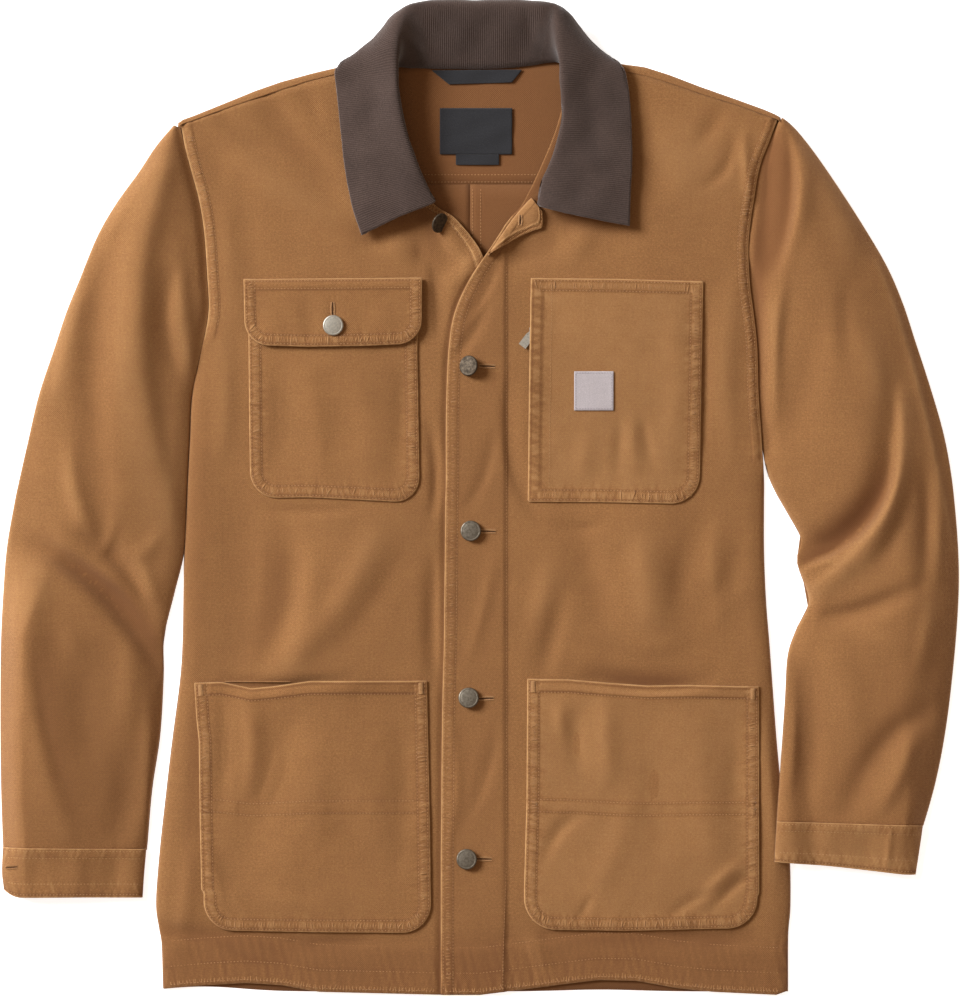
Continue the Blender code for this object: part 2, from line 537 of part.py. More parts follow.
def smooth(share):
    return share * share * (3 - 2 * share)


def sleeve(side, table, cap, arm, material, lift=None):
    """Upper and under panels, in sections from the inner to the outer edge, shoulder to cuff seam."""
    way = -1 if side == "right" else 1
    body = sides(table, way)
    joined = np.array(table)[:, 7]
    shared = np.arange(len(table) - 2, UNDERARM_ROW[side] - 1, -1)
    point = SHOULDER_POINT[side]
    cap = np.array(cap)
    arm = np.array(arm)
    inner = np.concatenate([[point[2:4]], body[shared] + (way * GAP, 0), arm[:, 2:4]])
    outer = np.concatenate([[point[0:2]], cap[:, :2], arm[:, :2]])
    arch = np.concatenate([[0.0], cap[:, 2], arm[:, 4]])
    opened = np.concatenate([[0.0], joined[shared], np.ones(len(arm))])
    outer_open = np.concatenate([[0.4], np.ones(len(outer) - 1)])
    length = np.hypot(*(outer - inner).T)
    near = np.minimum([[TURN_STEP], [ROLL]], length * np.array([[0.1], [0.25]])) / length
    middle = near[1] + (1 - 2 * near[1]) * np.linspace(0, 1, SLEEVE_MIDDLE_COLUMNS + 2)[1:-1, None]
    spots = np.concatenate([0 * near[:1], near, middle, 1 - near[::-1], 1 + 0 * near[:1]]).T
    top, bottom = laid_panel(inner, outer, spots, arch, opened, outer_open, lift)
    wall(f"sleeve_upper_{side}", top, bottom, material)
    plan = inner[:, None, :] + (outer - inner)[:, None, :] * np.array(UNDER_SPOTS)[None, :, None]
    z = lift(plan[..., 0], plan[..., 1]) if lift else np.zeros(plan.shape[:2])
    under = np.concatenate([plan, z[..., None]], axis=-1)
    wall(f"sleeve_under_{side}", shifted(under, CLOTH), under, material)


def cuff(side, table, material, lift=None):
    """A flat ring: each section is a loop, its turned edges half ellipses, its under side flat."""
    rows = np.array(table)
    outer, inner = rows[:, 0:2], rows[:, 2:4]
    run = outer - inner
    length = np.hypot(run[:, 0], run[:, 1])[:, None]
    unit = run / length
    near = np.array([0.0, CUFF_STEP, CUFF_TURN]) / length
    spots = np.concatenate([near, np.tile([0.25, 0.5, 0.75], (len(rows), 1)), 1 - near[:, ::-1]], axis=1)
    turn_start = np.clip(1 - spots * length / CUFF_TURN, 0, 1)
    turn_end = np.clip(1 - (1 - spots) * length / CUFF_TURN, 0, 1)
    turn = np.maximum(turn_start, turn_end)
    upright = np.sqrt(1 - turn**2)
    plan = inner[:, None, :] + run[:, None, :] * spots[..., None]
    corner = np.clip(1 - (1 - spots[-1]) * length[-1] / CUFF_CORNER_REACH, 0, 1)
    plan[-1, :, 1] += CUFF_CORNER[side] * corner**2
    floor = lift(plan[..., 0], plan[..., 1]) if lift else np.zeros(spots.shape)
    height = LOFT + CUFF_ARCH * np.sin(np.pi * spots) + fold_rise(plan[..., 0], plan[..., 1])
    middle = floor + height / 2
    inward = unit[:, None, :] * (turn_start - turn_end)[..., None] * CLOTH
    loops = []
    for depth in (0.0, CLOTH):
        shift = inward * depth / CLOTH
        upper = np.concatenate([plan + shift, (middle + (height / 2 - depth) * upright)[..., None]], axis=-1)
        lower = np.concatenate([plan + shift, (middle - (height / 2 - depth) * upright)[..., None]], axis=-1)
        loops.append(np.concatenate([upper, lower[:, -2:0:-1]], axis=1))
    return wall(f"cuff_{side}", loops[0], loops[1], material, ring=True)


def curve_through(points, steps):
    """Points on a Catmull-Rom curve through rows of points, with steps to each span."""
    padded = np.concatenate([2 * points[:1] - points[1:2], points, 2 * points[-1:] - points[-2:-1]])
    found = []
    for k in range(len(points) - 1):
        before, start, end, after = padded[k : k + 4]
        for t in np.arange(steps) / steps:
            found.append(
                start
                + 0.5 * t * (end - before)
                + t**2 * (before - 2.5 * start + 2 * end - 0.5 * after)
                + t**3 * (1.5 * start - 0.5 * before - 1.5 * end + 0.5 * after)
            )
    found.append(points[-1])
    return np.array(found)


def collar(material):
    """Stand and fall in one wall: each section curves from the neck seam over the roll to the edge."""
    rows = np.array(RIGHT_COLLAR + BACK_COLLAR + LEFT_COLLAR[::-1]).reshape(-1, 4, 3)
    along = curve_through(rows, 2)
    surface = curve_through(along.swapaxes(0, 1), 3).swapaxes(0, 1)
    normal = np.cross(np.gradient(surface, axis=0), np.gradient(surface, axis=1))
    normal /= np.linalg.norm(normal, axis=-1, keepdims=True)
    return wall(
        "collar", surface + normal * CORDUROY / 2, surface - normal * CORDUROY / 2, material
    )


def button(name, x, y, below, material):
    """A shank button turned about its own axis, resting on its piece."""
    trees = surface_under([below])
    round_shank = np.linspace(0, 2 * math.pi, 9)
    around = [(x + SHANK_RADIUS * math.cos(a), y + SHANK_RADIUS * math.sin(a)) for a in round_shank]
    height = max(rest_height(trees, *point) for point in [(x, y)] + around) + GAP
    mesh = bmesh.new()
    edge = [mesh.verts.new((radius * MM, 0, z * MM)) for radius, z in BUTTON_PROFILE]
    lines = [mesh.edges.new(pair) for pair in zip(edge, edge[1:])]
    bmesh.ops.spin(
        mesh, geom=edge + lines, axis=(0, 0, 1), cent=(0, 0, 0), angle=2 * math.pi, steps=BUTTON_SIDES
    )
    bmesh.ops.remove_doubles(mesh, verts=mesh.verts, dist=1e-5)
    bmesh.ops.triangulate(mesh, faces=mesh.faces)
    mesh.verts.ensure_lookup_table()
    points = np.array([vertex.co for vertex in mesh.verts]) / MM
    bmesh.ops.recalc_face_normals(mesh, faces=mesh.faces)
    faces = [[vertex.index for vertex in face.verts] for face in mesh.faces]
    mesh.free()
    made = add_object(name, points, faces, material)
    made.location = Vector((x, y, height)) * MM
    return made


def zip_slider(height, material):
    """Slider: a shield-shaped plate with a post and a cap that hold the pull."""
    x, y = PULL_AXIS_AT
    made = []
    for name, size, middle in SLIDER_PARTS:
        mesh = bmesh.new()
        bmesh.ops.create_cube(mesh, size=1.0)
        bmesh.ops.scale(mesh, vec=Vector(size) * MM, verts=mesh.verts)
        data = bpy.data.meshes.new(name)
        mesh.to_mesh(data)
        mesh.free()
        data.materials.append(material)
        piece = bpy.data.objects.new(name, data)
        piece.location = Vector((x, y, height + middle)) * MM
        bpy.context.scene.collection.objects.link(piece)
        made.append(piece)
    plate = made[0]
    plate.name = "zip_slider"
    for helper in made[1:]:
        helper.hide_render = True
        helper.display_type = "WIRE"
        union = plate.modifiers.new(helper.name, "BOOLEAN")
        union.operation = "UNION"
        union.object = helper
    return plate


def zip_pull(height, material):
    """Pull tab: a plate with a square hole round the slider's post, its origin on the hinge axis."""
    half = PULL_WIDTH / 2
    outline = (
        (PULL_LENGTH, -half), (PULL_LENGTH, half), (PULL_THROAT, half),
        (-PULL_BACK, PULL_BACK_HALF), (-PULL_BACK, -PULL_BACK_HALF), (PULL_THROAT, -half),
    )
    angles = sorted({math.atan2(y, x) for x, y in outline} | {math.radians(a) for a in range(-135, 181, 45)})
    outer = np.array([ray_to_outline(angle, outline) for angle in angles])
    ways = np.array([(math.cos(a), math.sin(a)) for a in angles])
    inner = PULL_HOLE * ways / np.abs(ways).max(axis=1, keepdims=True)
    rings = np.stack([inner, outer])
    top = np.concatenate([rings, np.full((*rings.shape[:2], 1), PULL_THICKNESS / 2)], axis=-1)
    made = wall("zip_pull", top, shifted(top, -PULL_THICKNESS), material, ring=True)
    way = Vector((*PULL_DIRECTION, 0)).normalized()
    side = Vector((0, 0, 1)).cross(way)
    turn = Matrix((way, side, Vector((0, 0, 1)))).transposed().to_4x4()
    made.matrix_world = (
        Matrix.Translation(Vector((*PULL_AXIS_AT, height)) * MM) @ turn @ Matrix.Rotation(PULL_TILT, 4, "Y")
    )
    return made


def ray_to_outline(angle, outline):
    """Where the ray from the origin at an angle leaves a convex outline."""
    way = (math.cos(angle), math.sin(angle))
    best = None
    for (x0, y0), (x1, y1) in zip(outline, outline[1:] + outline[:1]):
        cross = way[0] * (y1 - y0) - way[1] * (x1 - x0)
        if abs(cross) < 1e-9:
            continue
        distance = (x0 * (y1 - y0) - y0 * (x1 - x0)) / cross
        if distance > 0 and (best is None or distance < best):
            best = distance
    return way[0] * best, way[1] * best


for old in list(bpy.data.objects):
    bpy.data.objects.remove(old, do_unlink=True)

duck = look("duck_canvas", (0.352, 0.162, 0.054), 0.9)
corduroy = look("corduroy", (0.098, 0.065, 0.052), 0.95)
metal = look("antique_metal", (0.22, 0.18, 0.13), 0.45, 0.9)
bright = look("nickel", (0.5, 0.48, 0.44), 0.35, 1.0)
tape = look("black_tape", (0.02, 0.02, 0.022), 0.8)
woven = look("woven_patch", (0.52, 0.46, 0.48), 0.85)

back_panel("back_right", RIGHT_FRONT, -1, duck)
back_panel("back_left", LEFT_FRONT, 1, duck)

right_top, right_bottom = front_panel(RIGHT_FRONT, zipped=False)
wall("front_right", right_top, right_bottom, duck)
left_top, left_bottom = front_panel(LEFT_FRONT, zipped=True)
raise_placket(left_top, left_bottom)
wall("front_left", left_top, left_bottom, duck)
back_yoke(right_top[-1, :, 0], left_top[-1, :, 0], duck)

pocket("lower_pocket_right", patch_on(right_top, LOWER_POCKET_ROWS, (4, 10)), duck, POCKET_MOUTH)
pocket("lower_pocket_left", patch_on(left_top, LOWER_POCKET_ROWS, (4, 11)), duck, POCKET_MOUTH)
chest_right = patch_on(right_top, CHEST_POCKET_ROWS, (4, 10))
pocket("chest_pocket_right", chest_right, duck)

chest_left = patch_on(left_top, CHEST_POCKET_ROWS, (4, 11))
chest_left[:, -1, 2] += np.array(ZIP_GAPE)
chest_left[:, -2, 2] += np.array(ZIP_GAPE) * ZIP_GAPE_SECOND
pocket("chest_pocket_left", chest_left, duck)

flap = patch_on(right_top, FLAP_ROWS, (4, 10))
flap[..., 2] += CLOTH + GAP
flap[:, 0, 0] -= FLAP_WIDER
flap[:, -1, 0] += FLAP_WIDER
flap[-1, :, 1] += FLAP_HIGHER
wall("chest_flap", flap, shifted(flap, -CLOTH), duck)

sleeve("right", RIGHT_FRONT, RIGHT_CAP, RIGHT_ARM, duck)
sleeve("left", LEFT_FRONT, LEFT_CAP, LEFT_ARM, duck, lift=cuff_lap)
cuff("right", RIGHT_CUFF, duck)
cuff("left", LEFT_CUFF, duck, lift=cuff_lap)
collar(corduroy)

facing = np.array(FACING).reshape(-1, 2, 2)
facing_plan = facing[:, :1] + (facing[:, 1:] - facing[:, :1]) * np.linspace(0, 1, 4)[None, :, None]
settled("front_facing", facing_plan, ["front_left"], CLOTH, duck)

for name, corners in TAPES.items():
    settled(name, four_sided(corners, 3), ["back_yoke"], TRIM, tape)
settled("patch_label", four_sided(PATCH, 5), ["chest_pocket_left"], TRIM, woven)

for name, (x, y, below) in BUTTONS.items():
    button(name, x, y, below, bright if name == "flap_button" else metal)

zip_plan = four_sided(ZIP_TAPE, 9)[:, ::4]
settled("zip_tape", zip_plan, ["front_left"], TAPE_THICKNESS, tape)
zip_height = rest_height(surface_under(["zip_tape"]), TAPE_CLEAR_X, PULL_AXIS_AT[1]) + GAP
zip_slider(zip_height, bright)
zip_pull(zip_height + PULL_RISE, bright)
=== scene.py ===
"""Chore jacket laid flat on its back, dressed piece by piece over its CAD solids.

+Z is up, the collar lies towards +Y, left and right are the wearer's, so the right side is at -X.
All sizes and places are in millimetres until a mesh is made.
"""

import math

import bpy
import numpy as np
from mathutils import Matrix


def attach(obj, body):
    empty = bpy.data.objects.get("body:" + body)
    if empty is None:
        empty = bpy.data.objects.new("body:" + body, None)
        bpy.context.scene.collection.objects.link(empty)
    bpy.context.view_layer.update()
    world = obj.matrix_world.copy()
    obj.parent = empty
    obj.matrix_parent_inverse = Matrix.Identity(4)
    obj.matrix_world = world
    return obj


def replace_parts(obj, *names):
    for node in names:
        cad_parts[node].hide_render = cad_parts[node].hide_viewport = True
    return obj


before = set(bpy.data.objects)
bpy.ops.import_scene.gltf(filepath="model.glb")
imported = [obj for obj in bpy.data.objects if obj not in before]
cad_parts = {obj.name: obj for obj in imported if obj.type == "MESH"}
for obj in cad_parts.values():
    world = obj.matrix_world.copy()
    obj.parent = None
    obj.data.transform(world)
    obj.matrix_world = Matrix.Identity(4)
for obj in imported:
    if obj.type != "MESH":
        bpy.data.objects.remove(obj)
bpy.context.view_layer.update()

# Back panels
# Two flat halves of duck canvas, joined down the centre back and to the yoke, hemmed at the bottom.
# The whole jacket lies on them, so their outer faces are flat on the surface.

MM = 0.001
CLOTH = 1.2
GAP = 0.35
LOFT = 6.0
RIM = CLOTH + GAP
FLOOR_GAP = 0.02
CENTRE_BACK = -8.5
YOKE_SEAM = 273.0
BACK_HEM = -429.5
COARSE = 3  # a sheet's inner face keeps every third point of its outer one
UNDER_SIDE = dict(thickness=CLOTH - 0.1, inward=1.0)  # how a sheet is made whose outer face is below

# Fronts, a row for each section from the hem up to the shoulder seam:
# side x, side y, free edge x, free edge y, open (1 where the side turns down, 0 where a sleeve is sewn on)
RIGHT_FRONT = (
    (-275.8, -427.2, 13.1, -431.5, 1.0), (-277.1, -388.9, 13.1, -391.5, 1.0),
    (-279.3, -375.8, 13.1, -377.6, 1.0), (-281.9, -354.1, 13.1, -354.1, 1.0),
    (-278.8, -310.6, 13.1, -310.6, 1.0), (-274.1, -267.1, 13.1, -267.1, 1.0),
    (-268.0, -214.9, 13.1, -214.9, 1.0), (-261.0, -160.9, 13.1, -159.2, 1.0),
    (-258.8, -127.9, 13.1, -127.9, 1.0), (-258.1, -88.7, 13.1, -88.7, 1.0), (-257.3, -45.2, 13.1, -45.2, 1.0),
    (-255.3, -3.5, 13.1, -3.5, 1.0), (-254.5, 15.7, 13.1, 15.7, 1.0), (-252.7, 50.5, 13.1, 50.5, 1.0),
    (-250.6, 89.6, 13.1, 89.6, 1.0), (-241.4, 132.2, 12.2, 132.2, 0.6), (-236.2, 161.8, 10.4, 161.8, 0.0),
    (-237.1, 189.7, 7.8, 189.7, 0.0), (-240.1, 231.4, 0.0, 215.8, 0.0), (-244.5, 259.3, -20.9, 242.7, 0.0),
    (-251.4, 285.4, -45.2, 261.9, 0.0), (-257.0, 307.1, -73.1, 320.2, 0.0), (-260.0, 324.2, -80.0, 373.2, 0.0),
)
LEFT_FRONT = (
    (268.0, -428.9, -33.9, -432.4, 1.0), (268.0, -389.8, -33.9, -391.5, 1.0),
    (268.4, -375.0, -33.9, -377.6, 1.0), (270.1, -354.1, -33.9, -354.1, 1.0),
    (269.3, -310.6, -33.9, -310.6, 1.0), (263.6, -267.1, -33.5, -267.1, 1.0),
    (258.4, -214.9, -33.1, -214.9, 1.0), (254.5, -163.6, -32.2, -159.2, 1.0),
    (251.9, -127.9, -31.3, -127.9, 1.0), (248.8, -88.7, -30.9, -88.7, 1.0), (247.1, -45.2, -30.4, -45.2, 1.0),
    (247.1, -3.5, -30.0, -3.5, 1.0), (247.1, 15.7, -29.6, 15.7, 1.0), (245.3, 50.5, -29.6, 50.5, 0.0),
    (242.7, 89.6, -29.1, 89.6, 0.0), (241.4, 132.2, -27.0, 132.2, 0.0), (238.2, 161.8, -21.8, 161.8, 0.0),
    (234.9, 188.8, -9.1, 189.7, 0.0), (234.0, 224.5, 10.4, 219.2, 0.0), (239.2, 263.6, 25.2, 241.9, 0.0),
    (244.0, 289.7, 40.0, 261.0, 0.0), (252.3, 311.5, 66.1, 320.2, 0.0), (258.8, 329.0, 80.0, 374.1, 0.0),
)


class Look:
    """A material being mixed. Each method but finish adds a shader node and gives the socket it ends in."""

    def __init__(self, name):
        self.material = bpy.data.materials.new(name)
        self.material.use_nodes = True
        self.tree = self.material.node_tree
        self.place = self.node("TexCoord", out="Object")

    def fill(self, made, inputs):
        """Fills a node's inputs, each with a value or with a socket to link from."""
        for key, value in dict(inputs).items():
            if isinstance(value, bpy.types.NodeSocket):
                self.tree.links.new(value, made.inputs[key])
            else:
                made.inputs[key].default_value = value

    def node(self, kind, inputs=(), out=0, **settings):
        made = self.tree.nodes.new("ShaderNode" + kind)
        for key, value in settings.items():
            setattr(made, key, value)
        self.fill(made, inputs)
        return made.outputs[out]

    def calc(self, operation, *values):
        return self.node("Math", enumerate(values), operation=operation)

    def ramp(self, value, low, high, out_low, out_high):
        """A value carried in a straight line from one range to another, and held at its ends."""
        return self.node("MapRange", enumerate((value, low, high, out_low, out_high)))

    def noise(self, vector, scale, detail, rough=0.5):
        return self.node("TexNoise", {"Vector": vector, "Scale": scale, "Detail": detail, "Roughness": rough})

    def coats(self, tone, *coats):
        """A colour under coats of others: each has a colour, then a value, its range and its two shares."""
        for colour, *reading in coats:
            base = tone if isinstance(tone, bpy.types.NodeSocket) else (*tone, 1)
            tone = self.node("Mix", {0: self.ramp(*reading), 6: base, 7: (*colour, 1)}, 2, data_type="RGBA")
        return tone

    def finish(self, tone, height, strength, depth, **inputs):
        """Sets the shader's colour, a bump of some depth in millimetres, and its other inputs."""
        bump = self.node("Bump", {"Height": height, "Strength": strength, "Distance": depth * MM})
        inputs = {key.replace("_", " "): value for key, value in inputs.items()}
        self.fill(self.tree.nodes["Principled BSDF"], {"Base Color": tone, "Normal": bump, **inputs})
        return self.material


def cloth_look(name, colour, dark, light, thread, weave_depth, sheen):
    """Woven canvas: over-and-under yarns from two crossed waves on the cloth's own grid, uneven yarns
    from noise stretched along each of them, broad fading, paler cloth where the attribute read here is
    high and darker cloth where it is below 0. That attribute holds the wear of edges and puckers, and
    painted shade and painted light as well."""
    look = Look(name)
    grid = look.node("UVMap", uv_map="weave")
    wear = look.node("Attribute", out="Fac", attribute_name="wear")

    def yarns(across, along, scale, detail):
        spread = look.node("Mapping", {"Vector": grid, "Scale": (across, along, 1.0)})
        return look.noise(spread, scale / thread, detail, 0.55)

    def rib(axis):
        turn = look.calc("MULTIPLY", look.node("SeparateXYZ", {0: grid}, out=axis), math.pi / thread)
        return look.calc("SINE", turn)

    warp, weft = yarns(1.0, 0.4, 1.15, 3.0), yarns(0.36, 1.0, 1.1, 3.0)
    slub = look.calc("ADD", yarns(1.0, 0.06, 0.5, 2.0), yarns(0.05, 1.0, 0.5, 2.0))
    broad, middle = look.noise(look.place, 14.0, 3.0, 0.55), look.noise(look.place, 90.0, 4.0, 0.6)
    fine = look.noise(look.place, 1250.0, 3.0, 0.55)
    mottled = look.calc("MULTIPLY", wear, look.ramp(middle, 0.3, 0.7, 0.55, 1.3))
    # The last two coats follow the attribute: paler above 0 (wear, and some painted light) and darker below 0
    # (painted shade, and the dark stitched grooves).
    tone = look.coats(
        [c * 0.93 for c in colour], ([c * 1.07 for c in colour], broad, 0.3, 0.7, 0.0, 1.0),
        (dark, middle, 0.4, 0.75, 0.0, 0.12), (light, warp, 0.42, 0.66, 0.0, 0.42),
        (dark, weft, 0.36, 0.58, 0.46, 0.0), (dark, slub, 0.85, 1.15, 0.16, 0.0),
        (dark, fine, 0.38, 0.62, 0.30, 0.0), (light, mottled, 0.0, 1.0, 0.0, 0.9),
        (dark, wear, -1.0, 0.0, 0.75, 0.0),
    )
    woven = look.calc("MULTIPLY", rib(0), rib(1))
    height = look.calc("MULTIPLY_ADD", look.calc("ADD", warp, weft), 1.6, woven)
    return look.finish(
        tone, look.calc("ADD", middle, height), 1.0, weave_depth,
        Roughness=0.92, Specular_IOR_Level=0.2, Sheen_Weight=sheen, Sheen_Roughness=0.6,
    )


DUCK_DARK, DUCK_PALE = (0.175, 0.066, 0.020), (0.52, 0.285, 0.115)
duck = cloth_look("duck_canvas", (0.331, 0.153, 0.0475), DUCK_DARK, DUCK_PALE, 0.9, 0.13, 0.10)
thread_look = cloth_look("sewing_thread", (0.60, 0.335, 0.135), DUCK_DARK, DUCK_PALE, 0.3, 0.03, 0.1)


def waves(x, y, seed, count, short, long):
    """Sum of sine waves of random direction and start, with lengths from short to long, scaled to an
    ordinary size of 1."""
    draw = np.random.default_rng(seed)
    total = np.zeros(np.broadcast(x, y).shape)
    for way, length, start in draw.uniform((0, short, 0), (math.pi, long, 2 * math.pi), (count, 3)):
        total += np.sin((x * math.cos(way) + y * math.sin(way)) * 2 * math.pi / length + start)
    return total * math.sqrt(2 / count)


def ripple(along, seed):
    """Puckers along a seam: sine waves 3.4 to 7.5 mm long, scaled to an ordinary size of 0.8."""
    return waves(along, 0 * along, seed, 9, 3.4, 7.5) * 0.8


def smooth(share):
    """0 below 0, 1 above 1, and 3 s^2 - 2 s^3 between."""
    share = np.clip(share, 0, 1)
    return share * share * (3 - 2 * share)


def hump(distance, width):
    """Bell curve exp(-(distance / width)^2)."""
    return np.exp(-((distance / width) ** 2))


def read_off(table, at, key=0, value=1):
    """One column of a table read at places of another column, in straight lines from row to row."""
    table = np.array(table, float)
    table = table[np.argsort(table[:, key])]
    return np.interp(at, table[:, key], table[:, value])


def curve_at(points, t):
    """Catmull-Rom curve through the points at the places t, counted in points."""
    padded = np.concatenate([2 * points[:1] - points[1:2], points, 2 * points[-1:] - points[-2:-1]])
    k = np.clip(t.astype(int), 0, len(points) - 2)
    f = (t - k).reshape((-1,) + (1,) * (points.ndim - 1))
    a, b, c, d = (padded[k + i] for i in range(4))
    bend = f**2 * (a - 2.5 * b + 2 * c - 0.5 * d) + f**3 * (1.5 * b - 0.5 * a - 1.5 * c + 0.5 * d)
    return b + 0.5 * f * (c - a) + bend


def run_of(points):
    """Distance run along a line of points, from its first one."""
    return np.concatenate([[0], np.cumsum(np.linalg.norm(np.diff(points, axis=0), axis=1))])


def even_places(rows, count):
    """Places on a row table, evenly apart along its first two columns."""
    run = run_of(rows[:, :2])
    return np.interp(np.linspace(0, run[-1], count), run, np.arange(len(rows)))


def graded(length, lines, fine, coarse, band=1.5):
    """Grid positions from 0 to length: the step is fine within a band of each line, grows by a fifth of
    the distance beyond it, and is never over coarse. There is a multiple of three steps."""
    x = np.linspace(0, length, 3000)
    away = np.abs(x[:, None] - np.array(lines)).min(axis=1)
    step = np.clip(fine + 0.2 * (away - band), fine, coarse)
    count = np.concatenate([[0], np.cumsum((0.5 / step[1:] + 0.5 / step[:-1]) * np.diff(x))])
    steps = COARSE * math.ceil(count[-1] / COARSE)
    return np.interp(np.linspace(0, count[-1], steps + 1), count, x)


def side_line(rows):
    """A front's rows, evenly spaced and smooth, for reading its side, free edge and openness off them."""
    rows = np.array(rows)
    return curve_at(rows, even_places(rows, 400))


right_line, left_line = side_line(RIGHT_FRONT), side_line(LEFT_FRONT)


def side_at(y, line):
    """A front's side and how open it is, at any height."""
    return read_off(line, y, 1, 0), np.clip(read_off(line, y, 1, 4), 0, 1)


def facing_up(points):
    """Unit normals of a grid of points, from the cross product of its two slopes."""
    normal = np.cross(np.gradient(points, axis=1), np.gradient(points, axis=0))
    return normal / np.maximum(np.linalg.norm(normal, axis=-1, keepdims=True), 1e-9)


def grid_faces(index, over=True):
    """Quads of a grid of point numbers, turned one way on its outer face and the other on its inner."""
    corners = [index[:-1, :-1], index[:-1, 1:], index[1:, 1:], index[1:, :-1]]
    if not over:
        corners[1], corners[3] = corners[3], corners[1]
    return np.stack(corners, axis=-1).reshape(-1, 4)


def add_piece(name, points, faces, material, slot, grid=None, wear=None):
    """A smooth-shaded mesh from points in millimetres and arrays of faces, riding on the jacket."""
    mesh = bpy.data.meshes.new(name)
    flat = np.concatenate([part.ravel() for part in faces])
    sizes = np.concatenate([np.full(len(part), part.shape[1]) for part in faces])
    mesh.vertices.add(len(points))
    mesh.vertices.foreach_set("co", np.ascontiguousarray(points * MM, dtype=np.float32).ravel())
    mesh.loops.add(len(flat))
    mesh.loops.foreach_set("vertex_index", flat.astype(np.int32))
    mesh.polygons.add(len(sizes))
    mesh.polygons.foreach_set("loop_start", np.concatenate([[0], np.cumsum(sizes)[:-1]]).astype(np.int32))
    if grid is not None:
        layer = mesh.uv_layers.new(name="weave")
        layer.uv.foreach_set("vector", np.ascontiguousarray(grid[flat], dtype=np.float32).ravel())
        wear_and_shade_layer = mesh.attributes.new("wear", "FLOAT", "POINT")
        wear_and_shade_layer.data.foreach_set("value", wear.astype(np.float32).ravel())
    mesh.update(calc_edges=True)
    mesh.materials.append(material)
    mesh.shade_smooth()
    made = bpy.data.objects.new(name, mesh)
    bpy.context.scene.collection.objects.link(made)
    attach(made, "jacket")
    return made


def cloth_piece(name, outer, cut, rests_on=(), material=duck, slot="duck", thickness=CLOTH, grid=None,
                wear=None, ring=False, inward=-1.0, inside=-0.55):
    """A closed sheet in place of its solid. Its outer face is the given grid of points; its inner face is
    every third point moved along the normal by the thickness; a border line half way between the two, a
    quarter of the thickness further out, rounds the edge. A ring joins the last column to the first.
    The width and length of its cut are not used."""
    rows, columns = outer.shape[:2]
    index = np.arange(rows * columns).reshape(rows, columns)
    within = index.copy()
    within[0], within[-1] = index[1], index[-2]
    if ring:
        normal = facing_up(np.concatenate([outer[:, -1:], outer, outer[:, :1]], axis=1))[:, 1:-1]
        loops = [index[0], index[-1, ::-1]]
    else:
        normal = facing_up(outer)
        loops = [np.concatenate([index[0, :-1], index[:-1, -1], index[-1, :0:-1], index[:0:-1, 0]])]
        within[:, 0], within[:, -1] = within[:, 1], within[:, -2]
    edges = np.concatenate(loops)
    pick = np.ix_(np.arange(0, rows, COARSE), np.arange(0, columns, COARSE))
    low = rows * columns + len(edges) + np.arange(index[pick].size).reshape(index[pick].shape)
    low_index = np.full((rows, columns), -1)
    low_index[pick] = low
    if ring:
        index, low = (np.concatenate([part, part[:, :1]], axis=1) for part in (index, low))
    inner = (outer + normal * thickness * inward).reshape(-1, 3)
    flat, low_index, within = outer.reshape(-1, 3), low_index.ravel(), within.ravel()
    away = flat[edges] - flat[within[edges]]
    away /= np.maximum(np.linalg.norm(away, axis=1, keepdims=True), 1e-9)
    border = (flat[edges] + inner[edges]) / 2 + away * 0.25 * thickness
    fans, closing, first = [], [], rows * columns
    for loop in loops:
        size = len(loop)
        here = first + np.arange(size)
        fans.append(np.stack([np.roll(loop, -1), loop, here, np.roll(here, -1)], axis=1))
        marks = np.flatnonzero(low_index[loop] >= 0)
        next_marks = np.roll(marks, -1)
        spans = (next_marks - marks) % size
        for span in np.unique(spans):
            begin, end = marks[spans == span], next_marks[spans == span]
            low_begin, low_end = low_index[loop[begin]], low_index[loop[end]]
            half = (span + 1) // 2
            for step in range(span):
                one, two = here[(begin + step) % size], here[(begin + step + 1) % size]
                closing.append(np.stack([two, one, low_begin if step < half else low_end], axis=1))
            closing.append(np.stack([here[(begin + half) % size], low_begin, low_end], axis=1))
        first += size
    points = np.concatenate([flat, border, inner.reshape(rows, columns, 3)[pick].reshape(-1, 3)])
    faces = [grid_faces(index), np.concatenate(fans), np.concatenate(closing), grid_faces(low, False)]
    if inward > 0:
        faces = [part[:, ::-1] for part in faces]
    grid = outer[..., :2] if grid is None else grid
    wear = np.zeros((rows, columns)) if wear is None else wear
    grid = np.concatenate([grid.reshape(-1, 2), grid.reshape(-1, 2)[edges], grid[pick].reshape(-1, 2)])
    # Points of the inner face take the value inside: painted shade, darker where the jacket's inside shows.
    wear = np.concatenate([wear.ravel(), wear.ravel()[edges], 0 * wear[pick].ravel() + inside])
    made = add_piece(name + "_cloth", points, faces, material, slot, grid, wear)
    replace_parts(made, name)


